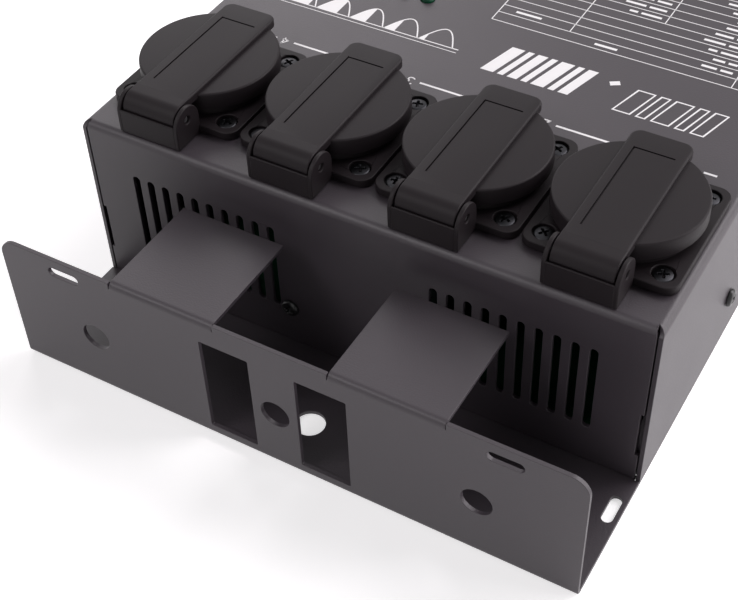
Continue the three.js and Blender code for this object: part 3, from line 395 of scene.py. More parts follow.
class Axis(Enum):
    """Which way a form is carried; the value orders (across, up, along) as X, Y and Z."""

    X = (2, 0, 1)
    Y = (1, 2, 0)
    Z = (0, 1, 2)

    def place(self, across: np.ndarray, up: np.ndarray, along: np.ndarray) -> np.ndarray:
        """Points in X, Y and Z; (across, up) is (Y, Z) along X, (Z, X) along Y, (X, Y) along Z."""
        return np.stack([(across, up, along)[k] for k in self.value], axis=-1)

    def level(self, loop: np.ndarray, height: float) -> np.ndarray:
        """A flat loop's points at one height along the axis."""
        return self.place(*loop.T, np.full(len(loop), float(height)))


class Form:
    """Closed surfaces gathered for one piece, in millimetres."""

    def __init__(self) -> None:
        """Starts with no surface."""
        self.points: list[np.ndarray] = []
        self.faces: Faces = []
        self.count = 0

    def add(self, points: np.ndarray, faces: Faces) -> Form:
        """Adds one surface.

        Args:
            points: its points, one row each.
            faces: corners of each face as rows of points.

        Returns:
            The form itself.
        """
        self.points.append(np.asarray(points, float))
        self.faces.extend(tuple(int(i) + self.count for i in face) for face in faces)
        self.count += len(points)
        return self

    def turned(
        self,
        profile: list[Point],
        centre: Spot,
        axis: Axis = Axis.Z,
        segments: int = 64,
        closed: bool = False,
        wave: np.ndarray | float = 1.0,
    ) -> Form:
        """Adds a profile carried round an axis: each radius times cosine and sine, at its height.

        Args:
            profile: radius and height of each point, from axis to axis or a closed loop.
            centre: where the axis and height 0 meet.
            axis: the axis.
            segments: how many steps go round.
            closed: whether the profile is a loop.
            wave: a factor on the radius for each point and step, such as for flutes.

        Returns:
            The form itself.
        """
        angle = np.linspace(0, 2 * np.pi, segments, endpoint=False)
        radius, height = np.asarray(profile, float).T
        reach = radius[:, None] * wave
        along = np.repeat(height[:, None], segments, axis=1)
        points = axis.place(reach * np.cos(angle), reach * np.sin(angle), along)
        faces = grid_faces(len(radius), segments, closed, True)
        return self.add(points.reshape(-1, 3) + centre, faces)

    def plate(
        self,
        outline: np.ndarray,
        low: float,
        high: float,
        holes: list[np.ndarray] | None = None,
        axis: Axis = Axis.Z,
    ) -> Form:
        """Adds a flat plate with holes right through it, closed all round.

        Args:
            outline: the outer loop, across and up.
            low, high: where it starts and ends along the axis.
            holes: inner loops.
            axis: the direction of its thickness.

        Returns:
            The form itself.
        """
        flat, triangles = cut_flat(outline, holes or [])
        return self.shell(axis.level(flat, high), axis.level(flat, low), triangles)

    def shell(self, outer: np.ndarray, inner: np.ndarray, triangles: np.ndarray) -> Form:
        """Adds two matching surfaces and the walls that join their rims.

        Args:
            outer, inner: the same points on either side.
            triangles: faces of the outer surface; the inner one's are the same, turned round.

        Returns:
            The form itself.
        """
        n = len(outer)
        start, end = rim(triangles).T
        walls = np.column_stack([end, start, start + n, end + n])
        faces = [*triangles.tolist(), *(triangles[:, ::-1] + n).tolist(), *walls.tolist()]
        return self.add(np.concatenate([outer, inner]), faces)

    def layers(self, loops: list[np.ndarray], heights: list[float], axis: Axis = Axis.Z) -> Form:
        """Adds loops of equal length stacked at heights, with a flat face at each end.

        Args:
            loops: one outline for each height.
            heights: where each outline lies along the axis.
            axis: the direction of the stack.

        Returns:
            The form itself.
        """
        rows = [axis.level(loop, height) for loop, height in zip(loops, heights)]
        return self.stack(np.concatenate(rows), len(rows), len(loops[0]))

    def stack(self, points: np.ndarray, rows: int, columns: int) -> Form:
        """Adds rows of points joined to each other, with a face at either end.

        Args:
            points: all the rows' points.
            rows, columns: how many rows there are, and points in each.

        Returns:
            The form itself.
        """
        last = (rows - 1) * columns
        ends = [tuple(range(columns))[::-1], tuple(range(last, last + columns))]
        return self.add(points, [*grid_faces(rows, columns, False, True), *ends])

    def tube(self, path: np.ndarray, radius: float, sides: int = 10) -> Form:
        """Adds a round wire along a path, with flat ends.

        Args:
            path: the middle of the wire, one row for each step.
            radius: half the wire's thickness.
            sides: corners of its section.

        Returns:
            The form itself.
        """
        ahead = np.gradient(path, axis=0)
        ahead /= np.linalg.norm(ahead, axis=1, keepdims=True)
        steady = [0.31, 0.17, 0.94]
        side = np.cross(ahead, steady)
        side /= np.linalg.norm(side, axis=1, keepdims=True)
        over = np.cross(ahead, side)
        angle = np.linspace(0, 2 * np.pi, sides, endpoint=False)[None, :, None]
        ring = np.cos(angle) * side[:, None] + np.sin(angle) * over[:, None]
        return self.stack((path[:, None] + radius * ring).reshape(-1, 3), len(path), sides)

    def cross_head(
        self, centre: Spot, radius: float, rise: float, crown: float, turn: Matrix, spin: float
    ) -> Form:
        """Adds a screw's round head with a cross recess.

        A square grid is pressed into a disc, so that x becomes x times the root of 1 - y * y / 2
        and the same for y. The top is a dome, less the recess where either bar of the cross lies,
        with sloping flanks. Lengths on the grid are shares of the radius.

        Args:
            centre: middle of the head's seat.
            radius: the head's radius.
            rise: height of its edge over the seat.
            crown: height of its dome over that edge.
            turn: turns +Z to the screw's outward direction.
            spin: angle of the cross about the axis.

        Returns:
            The form itself.
        """
        n = 37
        arm, arm_slope, bar, bar_slope, depth = 0.56, 0.08, 0.13, 0.05, 0.34
        shoulder, fall = 0.86, 0.35
        line = np.linspace(-1, 1, n)
        a, b = np.meshgrid(line, line, indexing="ij")
        x, y = a * np.sqrt(1 - b * b / 2), b * np.sqrt(1 - a * a / 2)
        out = np.hypot(x, y)
        edge = np.clip((out - shoulder) / (1 - shoulder), 0, 1) ** 2
        dome = rise + crown * (1 - out**2) - fall * rise * edge
        c, s = math.cos(spin), math.sin(spin)
        u, v = np.abs(c * x + s * y), np.abs(c * y - s * x)
        bars = [
            np.clip((arm - p) / arm_slope, 0, 1) * np.clip((bar - q) / bar_slope, 0, 1)
            for p, q in ((u, v), (v, u))
        ]
        deep = depth * radius * np.maximum(*bars) * (1 - fall * out)
        top = np.stack([radius * x, radius * y, dome - deep], axis=-1).reshape(-1, 3)
        ids = np.arange(n * n).reshape(n, n)
        loop = np.concatenate([ids[:-1, 0], ids[-1, :-1], ids[:0:-1, -1], ids[0, :0:-1]])
        k = len(loop)
        walls = [(loop[i], loop[(i + 1) % k], n * n + (i + 1) % k, n * n + i) for i in range(k)]
        points = np.concatenate([top, top[loop] * [1, 1, 0]]) @ np.array(turn).T + centre
        foot = tuple(range(n * n, n * n + k))
        return self.add(points, [*grid_faces(n, n, False, False), *walls, foot])

    def finish(
        self, name: str, material: bpy.types.Material, bevel: float, segments: int
    ) -> bpy.types.Object:
        """Makes the piece's object at the origin.

        Args:
            name: the piece's name.
            material: its finish.
            bevel: width of the rounded edges, in millimetres, or 0.
            segments: faces across each rounded edge.

        Returns:
            The object.
        """
        mesh = bpy.data.meshes.new(name)
        mesh.from_pydata((np.concatenate(self.points) * MM).tolist(), [], self.faces)
        mesh.validate()
        clean(mesh)
        mesh.materials.append(material)
        mesh.shade_smooth()
        mesh.set_sharp_from_angle(angle=SHARP)
        piece = bpy.data.objects.new(name, mesh)
        bpy.context.scene.collection.objects.link(piece)
        if bevel:
            edge = piece.modifiers.new("rounded_edges", "BEVEL")
            edge.width = bevel * MM
            edge.segments = segments
            edge.limit_method = "ANGLE"
            edge.angle_limit = SHARP
            edge.use_clamp_overlap = False
            edge.harden_normals = True
        return piece

    def piece(
        self,
        name: str,
        look: Look,
        *nodes: str,
        body: str = HOUSING,
        bevel: float = 0.0,
        segments: int = 2,
    ) -> None:
        """Finishes the form as a piece of the part.

        Args:
            name: the piece's name.
            look: its finish.
            nodes: the plain solids that it takes the place of.
            body: the body that it rides on.
            bevel, segments: width and faces of its rounded edges.
        """
        to_part(self.finish(name, LOOKS[look], bevel, segments), body, *nodes)


# Folding a flat pattern


@dataclass(frozen=True)
class Fold:
    """One right-angled bend of a flat pattern, towards the pattern's inner side.

    Attributes:
        across: 0 where the bend turns what lies beyond it in X, 1 in Y.
        way: +1 or -1, the side of the pattern that turns.
        start: where the bend begins, from the pattern's middle.
        radius: outer radius of the bend.
        span: lowest and highest value in the other direction that takes part.
        steps: flat stretches round the bend.
        beside: how far from either end of the bend one more crease keeps the sheet flat.
        slack: how far past the span a point may lie and still take part.
    """

    across: int
    way: int
    start: float
    radius: float
    span: Point
    steps: int = 10
    beside: float = 0.4
    slack: float = 0.05

    @property
    def length(self) -> float:
        """The bend's length on the outer surface: a quarter of its circle."""
        return self.radius * math.pi / 2

    def creases(self) -> list[np.ndarray]:
        """Lines across the pattern at the curved stretch's steps, and one beside each end.

        Returns:
            The two ends of each line.
        """
        steps = np.linspace(0, self.length, self.steps + 1).tolist()
        reaches = [-self.beside, *steps, self.length + self.beside]
        places = [self.way * (self.start + reach) for reach in reaches]
        low, high = self.span
        lines = [np.array([[at, low], [at, high]]) for at in places]
        return lines if self.across == 0 else [line[:, ::-1] for line in lines]

    def bend(self, flat: np.ndarray, bent: np.ndarray) -> np.ndarray:
        """Wraps what lies beyond the start round the bend's circle, and carries the rest straight.

        Args:
            flat: the pattern's own points, which say what takes part.
            bent: the points after the folds before this one; the third value grows inwards.

        Returns:
            The points after this fold.
        """
        low, high = self.span
        other = flat[:, 1 - self.across]
        beyond = self.way * bent[:, self.across] - self.start
        turns = (other > low - self.slack) & (other < high + self.slack) & (beyond > 0)
        angle = np.clip(beyond / self.radius, 0, math.pi / 2)
        rest = np.maximum(beyond - self.length, 0)
        depth, c, s = bent[:, 2], np.cos(angle), np.sin(angle)
        along = self.radius * s + rest * c - depth * s
        rise = self.radius * (1 - c) + rest * s + depth * c
        result = bent.copy()
        result[turns, self.across] = (self.way * (self.start + along))[turns]
        result[turns, 2] = rise[turns]
        return result


def folded(
    outline: np.ndarray,
    holes: list[np.ndarray],
    folds: list[Fold],
    sheet: float,
    level: float,
    up: int,
) -> Form:
    """A flat pattern with its holes cut and its folds made, as a press brake leaves it.

    Args:
        outline, holes: the pattern's loops.
        folds: the bends, outermost first.
        sheet: the sheet's thickness.
        level: height of the outer face of the part that stays flat.
        up: +1 where the sheet folds upwards, -1 where it folds downwards.

    Returns:
        A form with the closed sheet.
    """
    creases = [line for fold in folds for line in fold.creases()]
    flat, triangles = cut_flat(outline, holes, creases)
    sides = []
    for depth in (0.0, sheet):
        bent = np.column_stack([flat, np.full(len(flat), depth)])
        for fold in folds:
            bent = fold.bend(flat, bent)
        bent[:, 2] = level + up * bent[:, 2]
        sides.append(bent)
    return Form().shell(*sides, triangles)


# Sub-assemblies


@dataclass(frozen=True)
class Layout:
    """Sizes and places that the sub-assemblies share, as the frame has them, in millimetres."""

    side: float = 104.0
    rear: float = -120.0
    front: float = 120.0
    top: float = 69.0
    sheet: float = 1.5
    cover_bend: float = 2.6
    tray_side: float = 102.2
    tray_bend: float = 2.2
    lip: float = -167.4
    lip_top: float = 53.5
    socket_xs: tuple[float, ...] = (76.5, 25.5, -25.5, -76.5)
    socket_y: float = -81.6
    hinge_y: float = -112.2
    hinge_z: float = 78.0
    pin_bore: float = 1.45
    screw_ys: Point = (-48.0, 48.0)
    screw_z: float = 20.4
    sink_xs: Point = (-24.5, 24.5)
    sink_z: float = 18.1
    key_xs: tuple[float, ...] = (-31, -47, -63, -79)
    key_y: float = 60
    lamp_xs: tuple[float, ...] = (-35.5, -45.5, -55.5, -65.5, -75.5)
    lamp_y: float = -2
    display: Point = (-55, 30)
    connector_z: float = 36.0
    data_xs: Point = (-84.0, -52.0)
    fuse_xs: tuple[float, ...] = (47.0, 25.0, 3.0, -19.0)
    gland_x: float = 82.0


PLACE = Layout()


@dataclass
class Cover:
    """The folded cover: top, sides, rear and front in one sheet, with the control board's studs.

    Attributes:
        flap, notch: half the width of the rear and front flaps, and of the rear one's notch.
        relief: how far behind the start of two folds that meet their corner is cut.
        screw, socket, key, lamp, data, fuse, gland: radii of the round openings.
        window: width, height and corner radius of the display's opening.
        vent_zs: heights of the vent slots' ends.
        studs: where the studs stand.
    """

    flap: float = 102.0
    notch: float = 100.9
    relief: float = 0.05
    screw: float = 2
    socket: float = 22
    key: float = 4.8
    lamp: float = 2.8
    data: float = 12.1
    fuse: float = 6.5
    gland: float = 8.1
    window: Spot = (42, 20, 0.8)
    vent_zs: Point = (16.9, 52.1)
    studs: tuple[Point, ...] = ((-96, -6), (-14, -6), (-96, 68), (-14, 68))

    @property
    def bend(self) -> float:
        """Length of each fold on the outer face."""
        return PLACE.cover_bend * math.pi / 2

    def wall_v(self, z: float) -> float:
        """How far from the middle a height on the rear or front wall lies in the flat pattern."""
        return PLACE.front - PLACE.cover_bend + self.bend + PLACE.top - PLACE.cover_bend - z

    def wall_u(self, z: float) -> float:
        """The same for a side wall."""
        return self.wall_v(z) - PLACE.front + PLACE.side

    def outline(self) -> np.ndarray:
        """The cross-shaped flat pattern, with a small relief where two folds meet.

        Each flap starts narrow at its corner, where the folds would foul each other, and reaches
        its full width where the fold ends. The rear flap stops over the tray and has a notch low
        in either edge.

        Returns:
            The loop.
        """
        flap, notch, front = self.flap, self.notch, PLACE.front
        fold_end = PLACE.top - PLACE.cover_bend
        rear = [(flap, 1.8), (flap, 13), (notch, 13), (notch, 32), (flap, 32), (flap, fold_end)]
        corner_u = PLACE.side - PLACE.cover_bend - self.relief
        corner_v = front - PLACE.cover_bend - self.relief
        full, foot = self.wall_u(fold_end), self.wall_u(0)
        half = [(u, -self.wall_v(z)) for u, z in rear]
        half += [(corner_u, -corner_v), (full, -front), (foot, -front), (foot, front)]
        half += [(full, front), (corner_u, corner_v)]
        half += [(flap, self.wall_v(fold_end)), (flap, self.wall_v(0))]
        return mirrored(half)

    def holes(self) -> list[np.ndarray]:
        """Vent slots, screw holes and every opening of the top and the front.

        Returns:
            The loops in the flat pattern.
        """
        low, high = (-self.wall_v(z) for z in self.vent_zs)
        count, width, first, pitch = 10, 2.8, 30.1, 6
        vents = [
            rounded(side * (first + pitch * k), (low + high) / 2, width, high - low, width / 2)
            for side in (-1, 1)
            for k in range(count)
        ]
        screw_u = self.wall_u(PLACE.screw_z)
        screws = [(x, -self.wall_v(PLACE.sink_z)) for x in PLACE.sink_xs]
        screws += [(side * screw_u, y) for side in (-1, 1) for y in PLACE.screw_ys]
        v = self.wall_v(PLACE.connector_z)
        bores = [(x, self.data) for x in PLACE.data_xs]
        bores += [(x, self.fuse) for x in sorted(PLACE.fuse_xs)]
        bores += [(PLACE.gland_x, self.gland)]
        return [
            *vents,
            *[circle(u, y, self.screw, steps=24) for u, y in screws],
            *[circle(x, PLACE.socket_y, self.socket, steps=64) for x in PLACE.socket_xs],
            *[circle(x, PLACE.key_y, self.key, steps=40) for x in sorted(PLACE.key_xs)],
            *[circle(x, PLACE.lamp_y, self.lamp, steps=28) for x in PLACE.lamp_xs],
            rounded(*PLACE.display, *self.window, steps=4),
            *[circle(x, v, radius) for x, radius in bores],
        ]

    def folds(self) -> list[Fold]:
        """Rear and front first, then the two sides.

        Returns:
            The bends in the order in which they are made.
        """
        r, flap, front = PLACE.cover_bend, self.flap, PLACE.front
        ends = [Fold(1, way, front - r, r, (-flap, flap)) for way in (-1, 1)]
        return ends + [Fold(0, way, PLACE.side - r, r, (-front, front)) for way in (-1, 1)]

    def build(self) -> None:
        """Makes the sheet and its studs."""
        form = folded(self.outline(), self.holes(), self.folds(), PLACE.sheet, PLACE.top, -1)
        stud = [(0, 57.8), (2.3, 57.8), (2.5, 58.0), (2.5, 68.2), (0, 68.2)]
        for x, y in self.studs:
            form.turned(stud, (x, y, 0), segments=32)
        form.piece("folded_cover", Look.PAINT, "top_cover", bevel=0.16)


@dataclass
class Tray:
    """The base tray with the hanging bracket: lip, two tabs, side flanges and board pillars.

    Attributes:
        tab: where each tab starts and ends, from the middle.
        tab_reach: how far the folded tabs reach over the bracket.
        slit: width of the cut beside each tab.
        flange: where the side flanges start and end.
        flange_top: their height.
        plate_front: the bottom plate's front edge.
        relief: length and depth of the cuts at the ends of the flanges' folds.
        corner: radius of the lip's and the flanges' corners.
        bolt: radius of the clamp holes.
        slot: width of the bracket's slots.
    """

    tab: Point = (20.5, 59.5)
    tab_reach: float = 41
    slit: float = 0.2
    flange: Point = (-117.6, 110)
    flange_top: float = 30
    plate_front: float = 118.2
    relief: Point = (0.6, 0.5)
    corner: float = 6
    bolt: float = 5.25
    slot: float = 3.8

    @property
    def bend(self) -> float:
        """Length of each fold on the outer face."""
        return PLACE.tray_bend * math.pi / 2

    def lip_v(self, z: float) -> float:
        """How far behind the middle a height on the lip lies in the flat pattern."""
        return -PLACE.lip - PLACE.tray_bend + self.bend + z - PLACE.tray_bend

    def flange_u(self, z: float) -> float:
        """How far from the middle a height on a side flange lies in the flat pattern."""
        return PLACE.tray_side - PLACE.tray_bend + self.bend + z - PLACE.tray_bend

    def outline(self) -> np.ndarray:
        """The flat pattern: plate, bracket, lip with two tabs, and flanges with relief cuts.

        Returns:
            The loop.
        """
        (near, far), (start, end), slit, r = self.tab, self.flange, self.slit, self.corner
        cut, deep = self.relief
        top, fold = -self.lip_v(PLACE.lip_top), self.lip_v(PLACE.lip_top - PLACE.tray_bend)
        past_fold, past_rear = 0.1, 0.3
        root, tip = past_fold - fold, PLACE.tray_bend - fold - self.bend - self.tab_reach
        body, shoulder = PLACE.tray_side, PLACE.rear - past_rear
        flange = self.flange_u(self.flange_top)
        inner = body - PLACE.tray_bend - deep
        half = [(near - slit, top), (near - slit, root), (near, root), (near, tip)]
        half += [(far, tip), (far, root), (far + slit, root), (far + slit, top)]
        half += arc(PLACE.side - r, top + r, r, -90, 0, 10).tolist()
        half += [(PLACE.side, shoulder), (body, shoulder)]
        half += [(body, start - cut), (inner, start - cut), (inner, start)]
        half += arc(flange - r, start + r, r, -90, 0, 8).tolist()
        half += arc(flange - r, end - r, r, 0, 90, 8).tolist()
        half += [(inner, end), (inner, end + cut), (body, end + cut), (body, self.plate_front)]
        return mirrored(half)

    def holes(self) -> list[np.ndarray]:
        """Clamp holes, windows and slots of the bracket, and the cover screws' holes.

        Returns:
            The loops in the flat pattern.
        """
        bolt_v, slot_v, low, high = (-self.lip_v(z) for z in (24.3, 48, 44.05, 4.55))
        plate_bolt_y, plate_slot_y = PLACE.rear - 29.4, PLACE.rear - 14
        window, lip_slot, plate_slot, screw = 18, 12, 11, 2
        slot, screw_u = self.slot, self.flange_u(PLACE.screw_z)
        return [
            *[circle(x, bolt_v, self.bolt, steps=56) for x in (-70, 0, 70)],
            *[rounded(x, (low + high) / 2, window, high - low, 0.4, 2) for x in (-17.4, 17.4)],
            *[rounded(x, slot_v, lip_slot, slot, slot / 2) for x in (-78.5, 78.5)],
            circle(0, plate_bolt_y, self.bolt, steps=56),
            *[rounded(x, plate_slot_y, slot, plate_slot, slot / 2) for x in (-100.5, 100.5)],
            *[circle(s * screw_u, y, screw, steps=24) for s in (-1, 1) for y in PLACE.screw_ys],
        ]

    def folds(self) -> list[Fold]:
        """Tabs first, then the lip, then the side flanges.

        Returns:
            The bends in the order in which they are made.
        """
        (near, far), side, r = self.tab, PLACE.side, PLACE.tray_bend
        top = self.lip_v(PLACE.lip_top - r)
        tabs = [Fold(1, -1, top, r, span) for span in ((near, far), (-far, -near))]
        lip = Fold(1, -1, -PLACE.lip - r, r, (-side, side))
        flanges = [Fold(0, way, PLACE.tray_side - r, r, self.flange) for way in (-1, 1)]
        return [*tabs, lip, *flanges]

    def build(self) -> None:
        """Makes the sheet and the pillars."""
        form = folded(self.outline(), self.holes(), self.folds(), PLACE.sheet, 0.0, 1)
        pillar = [(0, 0.4), (3.5, 0.4), (3.5, 7.7), (3.2, 8.0), (0, 8.0)]
        for x in (-87, 87):
            for y in (-107.9, 44):
                form.turned(pillar, (x, y, 0), segments=36)
        form.piece("folded_tray", Look.PAINT, "base_tray", bevel=0.16)


@dataclass
class Screw:
    """A pan-head screw with a cross recess, outside a sheet."""

    name: str
    seat: Spot
    direction: Spot
    spin: float

    def build(self) -> None:
        """Makes the head and its shank upright, and turns both to the screw's direction."""
        turn, upright = np.array(outward(self.direction)).T, Matrix.Identity(3)
        radius, rise, crown, lift = 3.2, 1.2, 0.6, 0.3
        form = Form().cross_head((0, 0, lift), radius, rise, crown, upright, self.spin)
        shank = [(0, -7), (1.2, -7), (1.7, -6.2), (1.7, 0.5), (0, 0.5)]
        form.turned(shank, (0, 0, 0), segments=24)
        form.points = [points @ turn + self.seat for points in form.points]
        form.piece(f"{self.name}_look", Look.BLACK_OXIDE, self.name)


@dataclass
class Socket:
    """One flush socket with its hinge block, fixing screws, earth strap, pin and closing spring.

    Attributes:
        number, x: which socket it is and where it stands.
        flange_bottom, flange_top: heights of the square flange.
        rim: height of the collar's and the hinge block's upper edge.
        floor: height of the recess's floor.
        well: radius of the recess's floor plates, a little into the collar.
    """

    number: int
    x: float
    flange_bottom: float = 69.3
    flange_top: float = 72.3
    rim: float = 78.2
    floor: float = 60.7
    well: float = 20.3

    def corners(self) -> list[Point]:
        """Where the four fixing screws stand."""
        return [(self.x + dx, PLACE.socket_y + dy) for dx in (-19, 19) for dy in (-19, 19)]

    def flange(self, form: Form) -> None:
        """Adds the square plate with a sink for each screw.

        Args:
            form: the socket's form.
        """
        x, y, side, corner, opening, sink = self.x, PLACE.socket_y, 50, 4.5, 20.6, 3.6
        holes = [circle(x, y, opening, steps=64)]
        holes += [circle(cx, cy, sink, steps=32) for cx, cy in self.corners()]
        outline = rounded(x, y, side, side, corner, steps=8)
        form.plate(outline, self.flange_bottom, self.flange_top, holes)
        seat = [(0, 69.5), (3.9, 69.5), (3.9, 71.0), (0, 71.0)]
        for cx, cy in self.corners():
            form.turned(seat, (cx, cy, 0), segments=32)

    def recess(self, form: Form) -> None:
        """Adds the collar, the recess with its two ribs, and the floor with contact holes.

        Args:
            form: the socket's form.
        """
        x, y = self.x, PLACE.socket_y
        collar = [(21.7, 39.3), (21.7, 77.5), (21.5, 78.0), (21.0, self.rim), (20.2, self.rim)]
        collar += [(19.9, 78.0), (19.75, 77.6), (19.75, 39.3)]
        form.turned(collar, (x, y, 0), segments=96, closed=True)
        spread, contact = 9.5, 2.6
        contacts = [circle(x + s * spread, y, contact, steps=32) for s in (-1, 1)]
        base = circle(x, y, self.well, steps=72)
        form.plate(base, low=48.0, high=59.6, holes=contacts)
        form.plate(base, low=39.0, high=40.2)
        rib_inner, rib_outer, rib_width = 17.95, 20.6, 5
        for s, hole in zip((-1, 1), contacts):
            middle, half = 90 - 90 * s, 80.6
            bow = arc(x, y, self.well, middle - half, middle + half, steps=40)
            form.plate(bow, low=59.4, high=self.floor, holes=[hole])
            start, end = sorted((x + s * rib_inner, x + s * rib_outer))
            rib = rounded((start + end) / 2, y, end - start, rib_width, 0.5, steps=3)
            form.plate(rib, low=58.9, high=76.4)

    def hinge_block(self, form: Form) -> None:
        """Adds two ears, round at the top, and the trough that the lid's barrel turns in.

        Args:
            form: the socket's form.
        """
        x, y, z, half, trough = self.x, PLACE.hinge_y, PLACE.hinge_z, 6.2, 5.5
        ear_z, ear_inner, ear_outer, reach = 76.7, 10.6, 12.1, 10.9
        foot = [[y - half, self.flange_bottom], [y + half, self.flange_bottom]]
        ear = np.concatenate([foot, arc(y, ear_z, half, 0, 180, steps=28)])
        bore = [circle(y, z, PLACE.pin_bore, steps=20)]
        form.plate(ear, x - ear_outer, x - ear_inner, None, Axis.X)
        form.plate(ear, x + ear_inner, x + ear_outer, bore, Axis.X)
        block = [[y - half, self.rim], *foot, [y + half, self.flange_top]]
        hollow = arc(y, z, trough, 270, 180, steps=16)
        section = np.concatenate([block, hollow, [[y - trough, self.rim]]])
        form.plate(section, x - reach, x + reach, None, Axis.X)

    def screws(self) -> None:
        """Makes four cross-head screws sunk in the flange, each stopped at its own angle."""
        form, upright, seat = Form(), Matrix.Identity(3), 70.9
        radius, rise, crown = 3.25, 0.75, 0.4
        for k, (cx, cy) in enumerate(self.corners()):
            spin = (self.number * 0.83 + k * 1.37) % math.pi
            form.cross_head((cx, cy, seat), radius, rise, crown, upright, spin)
        form.piece(f"socket_screws_{self.number}", Look.DARK_ZINC)

    def earth(self) -> None:
        """Makes the bent strip across the floor, with a claw at each end towards the plug."""
        half, low, high, thick = 19.05, 59.9, 74.0, 0.8
        claw = [(0, 1.4), (0.7, 0.4), (1.2, 0), (2.1, 1.4), (1.3, 2.6), (thick, 4.2)]
        right = [(half, low), *[(half - a, high - b) for a, b in claw], (half - thick, low + thick)]
        loop = mirrored(right) + [PLACE.socket_y, 0]
        form = Form().plate(loop, self.x - 3, self.x + 3, None, Axis.X)
        n = self.number
        form.piece(f"earth_strip_{n}", Look.BRASS, f"earth_strap_{n}", bevel=0.12)

    def pin_and_spring(self) -> None:
        """Makes the hinge pin with chamfered ends, and the spring wound round it.

        The spring's middle line goes round the pin evenly while it goes on evenly along it.
        """
        n, x, y, z = self.number, self.x, PLACE.hinge_y, PLACE.hinge_z
        start, end, radius, chamfer = x - 12.1, x + 11.35, 1.25, 0.3
        pin = [(0, start), (0.95, start), (radius, start + chamfer)]
        pin += [(radius, end - chamfer), (0.95, end), (0, end)]
        Form().turned(pin, (0, y, z), Axis.X, 32).piece(f"pin_{n}", Look.ZINC, f"hinge_pin_{n}")
        half, coil, wire, turns = 5.75, 2.7, 0.45, 5
        turn = np.linspace(0, 2 * turns * np.pi, 36 * turns + 1)
        along = np.linspace(x - half, x + half, len(turn))
        path = np.stack([along, y + coil * np.cos(turn), z + coil * np.sin(turn)], axis=1)
        Form().tube(path, wire).piece(f"spring_{n}", Look.ZINC, f"closing_spring_{n}")

    def build(self) -> None:
        """Makes the socket's pieces."""
        form, n = Form(), self.number
        self.flange(form)
        self.recess(form)
        self.hinge_block(form)
        form.piece(f"socket_{n}", Look.MOULDING, f"socket_body_{n}", bevel=0.4, segments=3)
        self.screws()
        self.earth()
        self.pin_and_spring()


